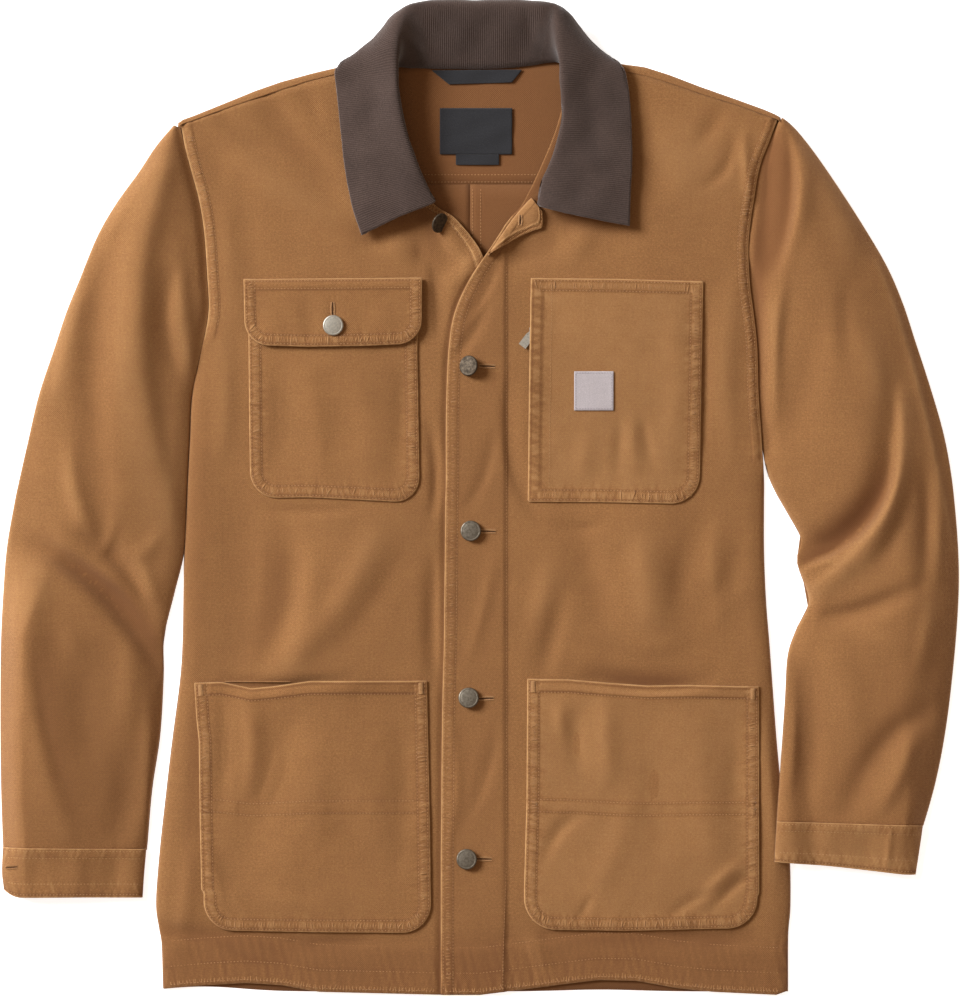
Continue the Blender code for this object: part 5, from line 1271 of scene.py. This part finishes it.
LEFT_COLLAR = (
    (54.8, 259.3, 7.8, 53.1, 253.2, 12.0, 88.7, 244.5, 9.8, 129.6, 236.6, 8.0),
    (57.4, 271.4, 7.8, 54.8, 270.6, 14.0, 95.7, 268.0, 10.5, 130.5, 264.5, 8.0),
    (69.0, 294.1, 7.8, 64.4, 294.1, 16.0, 100.0, 294.1, 11.0, 131.8, 292.3, 8.0),
    (79.0, 320.2, 7.8, 71.3, 320.2, 17.5, 102.7, 320.2, 11.5, 131.4, 318.4, 8.2),
    (82.5, 343.6, 7.8, 72.2, 344.5, 18.5, 103.5, 343.6, 12.0, 130.1, 342.8, 8.4),
    (80.5, 360.2, 7.8, 71.3, 367.1, 19.0, 104.4, 364.5, 12.0, 127.9, 360.2, 8.8),
    (71.3, 377.4, 5.4, 69.6, 389.8, 19.5, 104.4, 382.0, 12.5, 123.0, 376.0, 9.0),
    (59.2, 379.2, 3.0, 67.0, 412.4, 20.0, 93.4, 399.0, 11.0, 107.6, 385.0, 4.5),
    (41.8, 376.6, 2.8, 60.0, 425.5, 19.0, 77.6, 414.5, 8.0, 74.8, 390.6, 1.2),
    (21.8, 374.6, 2.8, 32.2, 425.5, 17.5, 34.8, 426.0, 7.0, 30.4, 386.3, 1.2),
)
BACK_COLLAR = ((0.0, 374.1, 2.8, 0.0, 425.5, 17.0, 0.0, 425.5, 6.0, 0.0, 385.4, 1.2),)
SEAM, COLLAR_ROLL, SHOULDER, OUTER = range(4)
# Rises of the rows' points: which point, by its distance from the middle (0) or its height (1), from
# these places, by these amounts
COLLAR_RISES = (
    (COLLAR_ROLL, 1, (255, 330, 380, 425), (1.0, 3.5, 6.5, 8.0)),
    (COLLAR_ROLL, 1, (250, 290, 330), (3.0, 2.0, 0.0)), (SHOULDER, 1, (235, 270, 330), (4.5, 3.0, 0.0)),
    (OUTER, 1, (225, 260, 320), (1.6, 1.2, 0.0)),
    (OUTER, 0, (30, 75, 110), (0.0, 0.6, 4.0)), (SHOULDER, 0, (35, 80, 95), (2.0, 3.6, 4.0)),
)
COLLAR_FOLDS = (
    (-62, 392, -68, 340, -52, 272, 7, 10, -1.3), (-118, 300, -100, 296, -84, 300, 7, 9, -1.1),
    (-98, 382, -92, 350, -98, 318, 9, 10, 1.2), (-84, 280, -74, 264, -62, 256, 7, 8, 1.2),
    (-112, 262, -92, 258, -72, 262, 6, 8, -0.9), (104, 380, 96, 345, 102, 305, 9, 10, 1.2),
    (118, 300, 100, 292, 84, 296, 8, 9, -1.1), (116, 262, 92, 262, 70, 270, 7, 8, 1.0),
    (62, 400, 72, 420, 90, 404, 6, 7, -1.0), (38, 428, 42, 412, 46, 394, 3, 4, 1.0),
    (50, 428, 53, 412, 56, 396, 4, 3, -0.9), (60, 430, 62, 414, 62, 398, 3, 3, 0.8),
    (-62, 402, -74, 416, -90, 402, 6, 7, -1.0),
)
CORDUROY = 2.2
WALE = 1.65
COLLAR_ROWS = (2.6, 7.0)


def corduroy_look():
    """Corduroy: rounded pile ribs along the collar's own grid from a sine wave, dark in the channels between
    them and paler on their worn crowns, with uneven pile from noise."""
    look = Look("corduroy")
    wear = look.node("Attribute", out="Fac", attribute_name="wear")
    across = look.node("SeparateXYZ", {0: look.node("UVMap", uv_map="weave")})
    broad, pile = look.noise(look.place, 35.0, 4.0), look.noise(look.place, 1050.0, 4.0)
    turn = look.calc("MULTIPLY", look.calc("MULTIPLY_ADD", broad, 0.5, across), 2 * math.pi / WALE)
    wave = look.calc("SINE", turn)
    # The last coat darkens the corduroy where the attribute is below 0, mostly painted shade on the inner collar
    # beside the neck.
    tone = look.coats(
        (0.097, 0.0605, 0.047), ((0.132, 0.084, 0.066), broad, 0.3, 0.7, 0.0, 1.0),
        ((0.030, 0.019, 0.015), wave, -1.0, 0.5, 0.28, 0.0), ((0.03, 0.02, 0.017), pile, 0.36, 0.5, 0.45, 0.0),
        ((0.17, 0.12, 0.105), pile, 0.52, 0.68, 0.0, 0.36), ((0.21, 0.15, 0.125), wear, 0.0, 1.2, 0.0, 0.75),
        ((0.028, 0.018, 0.014), wear, -1.0, 0.0, 0.8, 0.0),
    )
    return look.finish(
        tone, look.calc("MULTIPLY_ADD", pile, 0.6, wave), 0.8, 0.15,
        Roughness=0.95, Specular_IOR_Level=0.15, Sheen_Weight=0.35, Sheen_Roughness=0.5,
    )


collar_rows = np.array(RIGHT_COLLAR + BACK_COLLAR + LEFT_COLLAR[::-1]).reshape(-1, 4, 3)
for point, axis, places, rise in COLLAR_RISES:
    collar_rows[:, point, 2] += np.interp(np.abs(collar_rows[:, point, axis]), places, rise)
for point in (COLLAR_ROLL, SHOULDER):
    x, y = collar_rows[:, point, 0], collar_rows[:, point, 1]
    collar_rows[:, point, 0] += 2.4 * smooth((y - 375) / 30) * smooth((-30 - x) / 20)
collar_run = run_of(collar_rows[:, SHOULDER])
collar_length = collar_run[-1]
p = graded(collar_length, [0.0, 2.5, collar_length - 2.5, collar_length], 0.6, 1.5)
v = np.interp(np.linspace(0, 1, 97), [0, 0.9, 1], [0, 0.955, 1])
# Each section is a curve through its four points, and the sections follow a curve along the neck
sections = curve_at(collar_rows, np.interp(p, collar_run, np.arange(len(collar_run))))
points = curve_at(np.swapaxes(sections, 0, 1), v * 3)
p, v = np.meshgrid(p, v)
x, y = points[..., 0], points[..., 1]
to_edge = np.minimum(np.minimum(p, collar_length - p), (1 - v) * 75.0)
relief = 0.55 * sewn(to_edge, COLLAR_ROWS[:1]) + 0.16 * puckers(to_edge, p + v * 60, COLLAR_ROWS, 101)
relief = relief + 0.3 * waves(x, y, 102, 12, 14, 45) + folds(x, y, COLLAR_FOLDS)
points = points - facing_up(points) * (CORDUROY / 2 + relief)[..., None]
from_middle = np.abs(p - collar_length / 2)
down_to_yoke = (points[:1, :, 2] - 1.3) * smooth((99 - from_middle) / 14)
points[..., 2] -= down_to_yoke * smooth((0.2 - v) / 0.2)
inner_back = smooth((0.42 - v) / 0.1) * smooth((95 - from_middle) / 20)
along = (p - collar_length / 2) * (1 - inner_back) + points[..., 0] * inner_back
grid = np.stack([along, v * 90], axis=-1)
wear = (1.0 + 0.6 * ripple(p * 2.5 + v * 150, 103)) * hump(to_edge, 1.6) + 0.7 * hump((v - 0.36) * 90, 7.0)
wear = np.clip(wear + 0.3 * relief, -0.3, 1.2)
# Painted shade on the collar's inner face beside both rolls, away from the middle of the back.
neck_painted_shade = smooth((0.34 - v) / 0.02) * smooth((v - 0.05) / 0.15) * smooth((from_middle - 55) / 25)
wear = wear - 0.6 * neck_painted_shade
points, grid, wear = points[::-1], grid[::-1], wear[::-1]
under = ["back_yoke", "front_right", "front_left"]
cloth_piece("collar", points, (560, 110), under, corduroy_look(), "corduroy", CORDUROY, grid, wear)


# Facing
# The left front's top corner has rolled open, so its canvas facing shows beside the collar: a folded
# strip with a stitched edge and a buttonhole.

# Turned-out facing, a row for each section from the corner up: fold x, y, free edge x, y
FACING = (
    (6.5, 211.0, 9.0, 212.6), (13.5, 221.5, 21.0, 219.5), (23.5, 236.0, 34.0, 227.0),
    (32.0, 247.5, 46.5, 232.5), (40.0, 256.5, 54.2, 236.0), (44.5, 261.0, 54.5, 249.0),
)


def facing_surface(u, t):
    """The turned-out corner at share u from the fold to the free edge and place t up its rows: it rises
    through a quarter ellipse at the fold and lies one layer above the front."""
    u, t, _, x, y, length = across_rows(np.array(FACING), u, t)
    edge = (1 - u) * length
    turn = np.clip(1 - u * length / 5.0, 0, 1)
    rise = PATCH_RISE + 1.0 + 1.6 * np.sin(np.pi * np.clip(u, 0, 1))
    z = front_height(x, y, left_line, 1) + 0.3 + (rise - 0.3) * np.sqrt(1 - turn**2)
    z = z + 0.5 * hump(edge - 1.2, 1.3) + 0.5 * hump(edge - 5.2, 1.2)
    z = z + 0.15 * puckers(edge, y + x, (2.0, 7.0), 111)
    return np.stack([x, y, z], axis=-1)


u, t = np.meshgrid(graded(1.0, [0.0, 1.0], 0.02, 0.03, 0.08), np.linspace(0, len(FACING) - 1, 76))
points = facing_surface(u, t)
edge = (1 - u) * np.hypot(*(points[:, -1, :2] - points[:, 0, :2]).T)[:, None]
wear = hump(edge, 1.5) + 0.8 * hump(edge - 5.0, 1.0) - 0.6 * hump(edge - 2.8, 0.8) + 0.5 * hump(u, 0.05) + 0.15
cloth_piece("front_facing", points, (60, 30), ["front_left"], wear=wear)
t = np.linspace(0.1, len(FACING) - 1.05, 120)
stitches("thread_facing", laid_on(facing_surface, [(1 - d / 24.0 + 0 * t, t) for d in (2.0, 5.6)], 0.02))


# Buttons
# Cast shank buttons with a plain dished face inside a raised rim: five down the front and one on the
# flap. Each is sewn on through its shank and passed through a worked buttonhole.


def metal_look(name, colour, dark, roughness):
    """Cast metal: darkened where noise is low, with fine scratches and a slightly uneven face."""
    look = Look(name)
    patina, grain = look.noise(look.place, 420.0, 5.0, 0.65), look.noise(look.place, 2600.0, 2.0)
    tone = look.coats(colour, (dark, patina, 0.35, 0.65, 1.0, 0.0))
    rough = look.ramp(patina, 0.3, 0.7, roughness + 0.2, roughness - 0.08)
    return look.finish(tone, grain, 0.6, 0.05, Roughness=rough, Metallic=1.0)


ANTIQUE = metal_look("antique_metal", (0.235, 0.205, 0.16), (0.115, 0.095, 0.07), 0.48), "antique_metal"
# A darker copy of the antique metal; on button_1 it is painted shade, standing in for the collar's shadow.
DARKER_METAL = metal_look("darker_antique_metal", (0.135, 0.105, 0.075), (0.07, 0.055, 0.04), 0.62), "antique_metal"
NICKEL = metal_look("nickel", (0.60, 0.57, 0.49), (0.40, 0.375, 0.32), 0.5), "nickel"
FLAP_SIDE = -205.3  # x of the flap's -X edge
# Buttons: the surface that each lies on, x, y, how far it tips on its shank and towards which side, in
# radians, and its finish
BUTTONS = {
    "button_1": (right_surface, -36.5, 240.0, 0.85, -0.5, DARKER_METAL),
    "button_2": (left_surface, -8.7, 114.8, 0.5, 3.0, DARKER_METAL),
    "button_3": (left_surface, -7.8, -28.7, 0.10, 2.6, ANTIQUE),
    "button_4": (left_surface, -9.6, -174.0, 0.14, 2.2, ANTIQUE),
    "button_5": (left_surface, -11.3, -314.1, 0.10, 2.9, ANTIQUE),
    "flap_button": (flap_surface, -127.5, 150.0, 0.0, 0.0, NICKEL),
}
# Radius and height round a button's section, from its shank's foot over the rim to the middle of its face
BUTTON_SECTION = (
    (0.0, 0.0), (3.4, 0.0), (3.4, 1.3), (7.6, 1.5), (8.6, 1.8), (8.95, 2.4), (8.85, 3.0), (8.45, 3.45),
    (7.9, 3.65), (7.35, 3.6), (7.0, 3.56), (6.5, 3.66), (5.0, 3.78), (3.2, 3.86), (1.5, 3.9), (0.0, 3.91),
)
SIDES = 40


def turned_faces(count):
    """Faces of a section turned round an axis, whose first and last rings are single points."""
    index = 1 + np.arange((count - 2) * SIDES).reshape(count - 2, SIDES)
    after, last = np.roll(index, -1, axis=1), 1 + (count - 2) * SIDES
    low = np.stack([np.zeros(SIDES, int), after[0], index[0]], axis=-1)
    high = np.stack([np.full(SIDES, last), index[-1], after[-1]], axis=-1)
    return [grid_faces(np.concatenate([index, index[:, :1]], axis=1)), np.concatenate([low, high])]


section = curve_at(np.array(BUTTON_SECTION), np.linspace(0, len(BUTTON_SECTION) - 1, 46))
radius, level = np.maximum(section[:, :1], 0.0), section[:, 1:]
angle = np.linspace(0, 2 * np.pi, SIDES, endpoint=False)
disc = np.stack([radius * np.cos(angle), radius * np.sin(angle), level + 0 * angle], axis=-1)
disc = np.concatenate([disc[0, :1], disc[1:-1].reshape(-1, 3), disc[-1, :1]])
for name, (surface, x, y, tip, lean, (metal, slot)) in BUTTONS.items():
    p, q = (x - FLAP_SIDE, y - FLAP.low) if surface is flap_surface else (x, y)
    foot = surface(np.array([p]), np.array([q]))[0, 2]
    towards = disc[:, 0] * math.cos(lean) + disc[:, 1] * math.sin(lean)
    away = disc[:, 1] * math.cos(lean) - disc[:, 0] * math.sin(lean)
    up = disc[:, 2] * math.cos(tip) - towards * math.sin(tip)
    towards = towards * math.cos(tip) + disc[:, 2] * math.sin(tip)
    tipped_x = towards * math.cos(lean) - away * math.sin(lean)
    tipped_y = away * math.cos(lean) + towards * math.sin(lean)
    tipped = np.stack([tipped_x, tipped_y, up], axis=-1) + (x, y, foot - 0.3 + 4.0 * math.sin(tip))
    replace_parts(add_piece(name + "_cast", tipped, turned_faces(len(section)), metal, slot), name)


def buttonhole(surface, p, q, angle, length, scale):
    """Worked buttonhole: close stitches square across a slit, on both its sides and round its ends, and
    the slit itself, which is painted shade. The scale carries millimetres into the surface's own two parameters."""
    way, scale = np.array([math.cos(angle), math.sin(angle)]), np.array(scale)
    across = np.array([-way[1], way[0]])
    lines = []
    for side in (-1, 1):
        for step in np.arange(-length / 2, length / 2, 0.62):
            middle = way * step + across * side * (1.05 + 0.35 * math.cos(math.pi * step / length))
            lines.append((p, q) + (middle + np.linspace(-1, 1, 5)[:, None] * across * 0.95) * scale)
    slit = (p, q) + np.linspace(-0.5, 0.5, 40)[:, None] * length * 0.95 * way * scale
    found = laid_on(surface, [line.T for line in (*lines, slit)], 0.4 * scale[0])
    return found[:-1], found[-1:]


BUTTONHOLE_BROWNS = ((0.55, 0.30, 0.125), (0.30, 0.14, 0.05), (0.7, 0.45, 0.22))
# The slits are dark beans: painted shade down in each slit.
SLIT_SHADE_BROWNS = ((0.055, 0.022, 0.010), (0.04, 0.016, 0.008), (0.08, 0.04, 0.02))
bars, slits = [], []
for surface, p, q, angle, length, scale in (
    (left_surface, 6.6, 114.6, -0.05, 14.0, (1, 1)), (left_surface, 7.2, -29.0, -0.04, 14.0, (1, 1)),
    (left_surface, 5.4, -174.4, 0.03, 14.0, (1, 1)), (left_surface, 3.8, -314.0, -0.03, 14.0, (1, 1)),
    (flap_surface, 77.0, 164.6 - FLAP.low, math.pi / 2, 12.0, (1, 1)),
    (facing_surface, 0.32, 2.85, -0.87, 9.5, (1 / 20.0, 1 / 14.0)),
    (cuff_surface("right", RIGHT_CUFF), 0.925, 0.80, 0.12, 11.0, (1 / CUFF_WIDTH, 2 / CUFF_DEPTH)),
):
    found = buttonhole(surface, p, q, angle, length, scale)
    bars, slits = bars + found[0], slits + found[1]
worked_thread = cloth_look("buttonhole_thread", *BUTTONHOLE_BROWNS, 0.3, 0.03, 0.1)
stitches("thread_buttonholes", bars, worked_thread, pitch=1.9, size=(1.9, 0.34, 0.5))
stitches("slits", slits, cloth_look("slit", *SLIT_SHADE_BROWNS, 0.5, 0.03, 0.0), pitch=1.3, size=(1.9, 0.42, 0.32))


# Labels
# Bare tapes inside the neck: a hanger tape under the collar, a black label and a small tab, sewn to the
# yoke; and a bare woven patch on the left chest pocket.

TAPES = {
    "hanger_loop": ((-41.8, 372.2), (36.6, 372.8), (27.8, 361.9), (-27.0, 360.2)),
    "neck_label": ((-34.8, 339.3), (28.0, 339.3), (27.8, 299.3), (-34.8, 299.3)),
    "size_tab": ((-20.9, 298.9), (16.5, 298.9), (16.5, 290.1), (-20.9, 290.1)),
}
PATCH = ((82.0, 110.0), (116.0, 110.0), (116.0, 76.2), (82.0, 76.2))
POCKET_SIDE = 43.2  # x of the left chest pocket's -X edge beside the patch


def tape_look(name, colour, pale, thread):
    """Woven tape: fine crossed ribs on its own grid, almost even in colour."""
    return cloth_look(name, colour, tuple(c * 0.6 for c in colour), pale, thread, 0.06, 0.15)


def four_sided(corners, p, q):
    """Plan positions between four corners given in order round the piece, at shares p and q."""
    first, second, third, fourth = (np.array(corner) for corner in corners)
    low = fourth + (third - fourth) * p[..., None]
    high = first + (second - first) * p[..., None]
    return low + (high - low) * q[..., None]


def patch_surface(p, q):
    plan = four_sided(PATCH, p, q)
    x, y = plan[..., 0], plan[..., 1]
    return np.stack([x, y, chest_left(x - POCKET_SIDE, y - CHEST_LEFT.low)[..., 2] + 1.15], axis=-1)


black_tape = tape_look("black_tape", (0.020, 0.020, 0.023), (0.07, 0.07, 0.075), 0.45)
woven_patch = tape_look("woven_patch", (0.55, 0.49, 0.50), (0.72, 0.68, 0.68), 0.5)
label_thread = tape_look("label_thread", (0.30, 0.25, 0.27), (0.4, 0.35, 0.36), 0.4)
p, q = np.meshgrid(np.linspace(0, 1, 49), np.linspace(0, 1, 31))
for name, corners in TAPES.items():
    plan = four_sided(corners, p, q)
    rise = 0.25 * waves(plan[..., 0], plan[..., 1], 121, 8, 18, 50) + 0.5
    points = np.concatenate([plan, (RIM + 0.7 + np.maximum(rise, 0))[..., None]], axis=-1)
    cut = np.ptp(plan[..., 0]) + 0.5, max(np.ptp(plan[..., 1]) + 0.5, 12.0)
    cloth_piece(name, points, cut, ["back_yoke"], black_tape, "black_tape", 0.7)
patch_points = patch_surface(p, q)
cloth_piece("patch_label", patch_points, (34.5, 34.5), ["chest_pocket_left"], woven_patch, "woven_patch", 0.7)
inner = [run_through((0.04, 0.04), (0.96, 0.04), (0.96, 0.96), (0.04, 0.96), (0.04, 0.04), step=0.01)]
paths = laid_on(patch_surface, inner, 0.01)
stitches("thread_patch", paths, label_thread, "woven_patch", pitch=2.4, size=(1.8, 0.25, 0.2))


# Zip
# A coil zip on black tape under the left chest pocket's front edge, with a cast slider and pull tab.

zip_x, zip_y = np.meshgrid(np.linspace(44.2, 55.0, 10), np.linspace(62.0, 176.0, 61))
points = np.stack([zip_x, zip_y, left_surface(zip_x, zip_y)[..., 2] + 0.3], axis=-1)
cloth_piece("zip_tape", points, (11.0, 114.5), ["front_left"], black_tape, "black_tape", 0.5)
for name in ("zip_slider", "zip_pull"):
    for place in bpy.data.objects[name].material_slots:
        place.material = NICKEL[0]


# Studio
# A plain white floor, one large soft light from the upper left, an even fill from all round, and a
# camera straight above with a long lens.

scene = bpy.context.scene
world = bpy.data.worlds.new("studio")
scene.world = world
world.use_nodes = True
fill_light = world.node_tree.nodes["Background"]
fill_light.inputs[0].default_value = (1.0, 0.80, 0.64, 1)
fill_light.inputs[1].default_value = 0.36

floor_look = Look("floor")
floor_look.fill(floor_look.tree.nodes["Principled BSDF"], {
    "Base Color": (0.97, 0.97, 0.97, 1), "Roughness": 1.0, "Specular IOR Level": 0.0,
    "Emission Color": (1, 1, 1, 1), "Emission Strength": 0.75,
})
floor_mesh = bpy.data.meshes.new("floor")
floor_mesh.from_pydata([(-4, -4, 0), (4, -4, 0), (4, 4, 0), (-4, 4, 0)], [], [(0, 1, 2, 3)])
floor_mesh.materials.append(floor_look.material)
floor = bpy.data.objects.new("floor", floor_mesh)
floor.location.z = -0.0002
scene.collection.objects.link(floor)

lamp = bpy.data.lights.new("softbox", "AREA")
lamp.shape = "SQUARE"
lamp.size = 3.0
lamp.color = (0.97, 1.0, 1.05)
lamp.energy = 1030.0
softbox = bpy.data.objects.new("softbox", lamp)
softbox.location = (-6.0, 3.3, 4.0)
softbox.rotation_euler = (-softbox.location).to_track_quat("-Z", "Y").to_euler()
scene.collection.objects.link(softbox)

SENSOR, LENS = 36.0, 200.0
PICTURE_HEIGHT, SCALE = 996, 0.87  # points, and millimetres to a point
lens = bpy.data.cameras.new("camera")
lens.lens = LENS
lens.sensor_width = SENSOR
lens.clip_end = 50.0
camera = bpy.data.objects.new("camera", lens)
camera.location = (0.0, 0.0, LENS / SENSOR * PICTURE_HEIGHT * SCALE * MM + 0.006)
scene.collection.objects.link(camera)
scene.camera = camera
scene.view_settings.view_transform = "Standard"
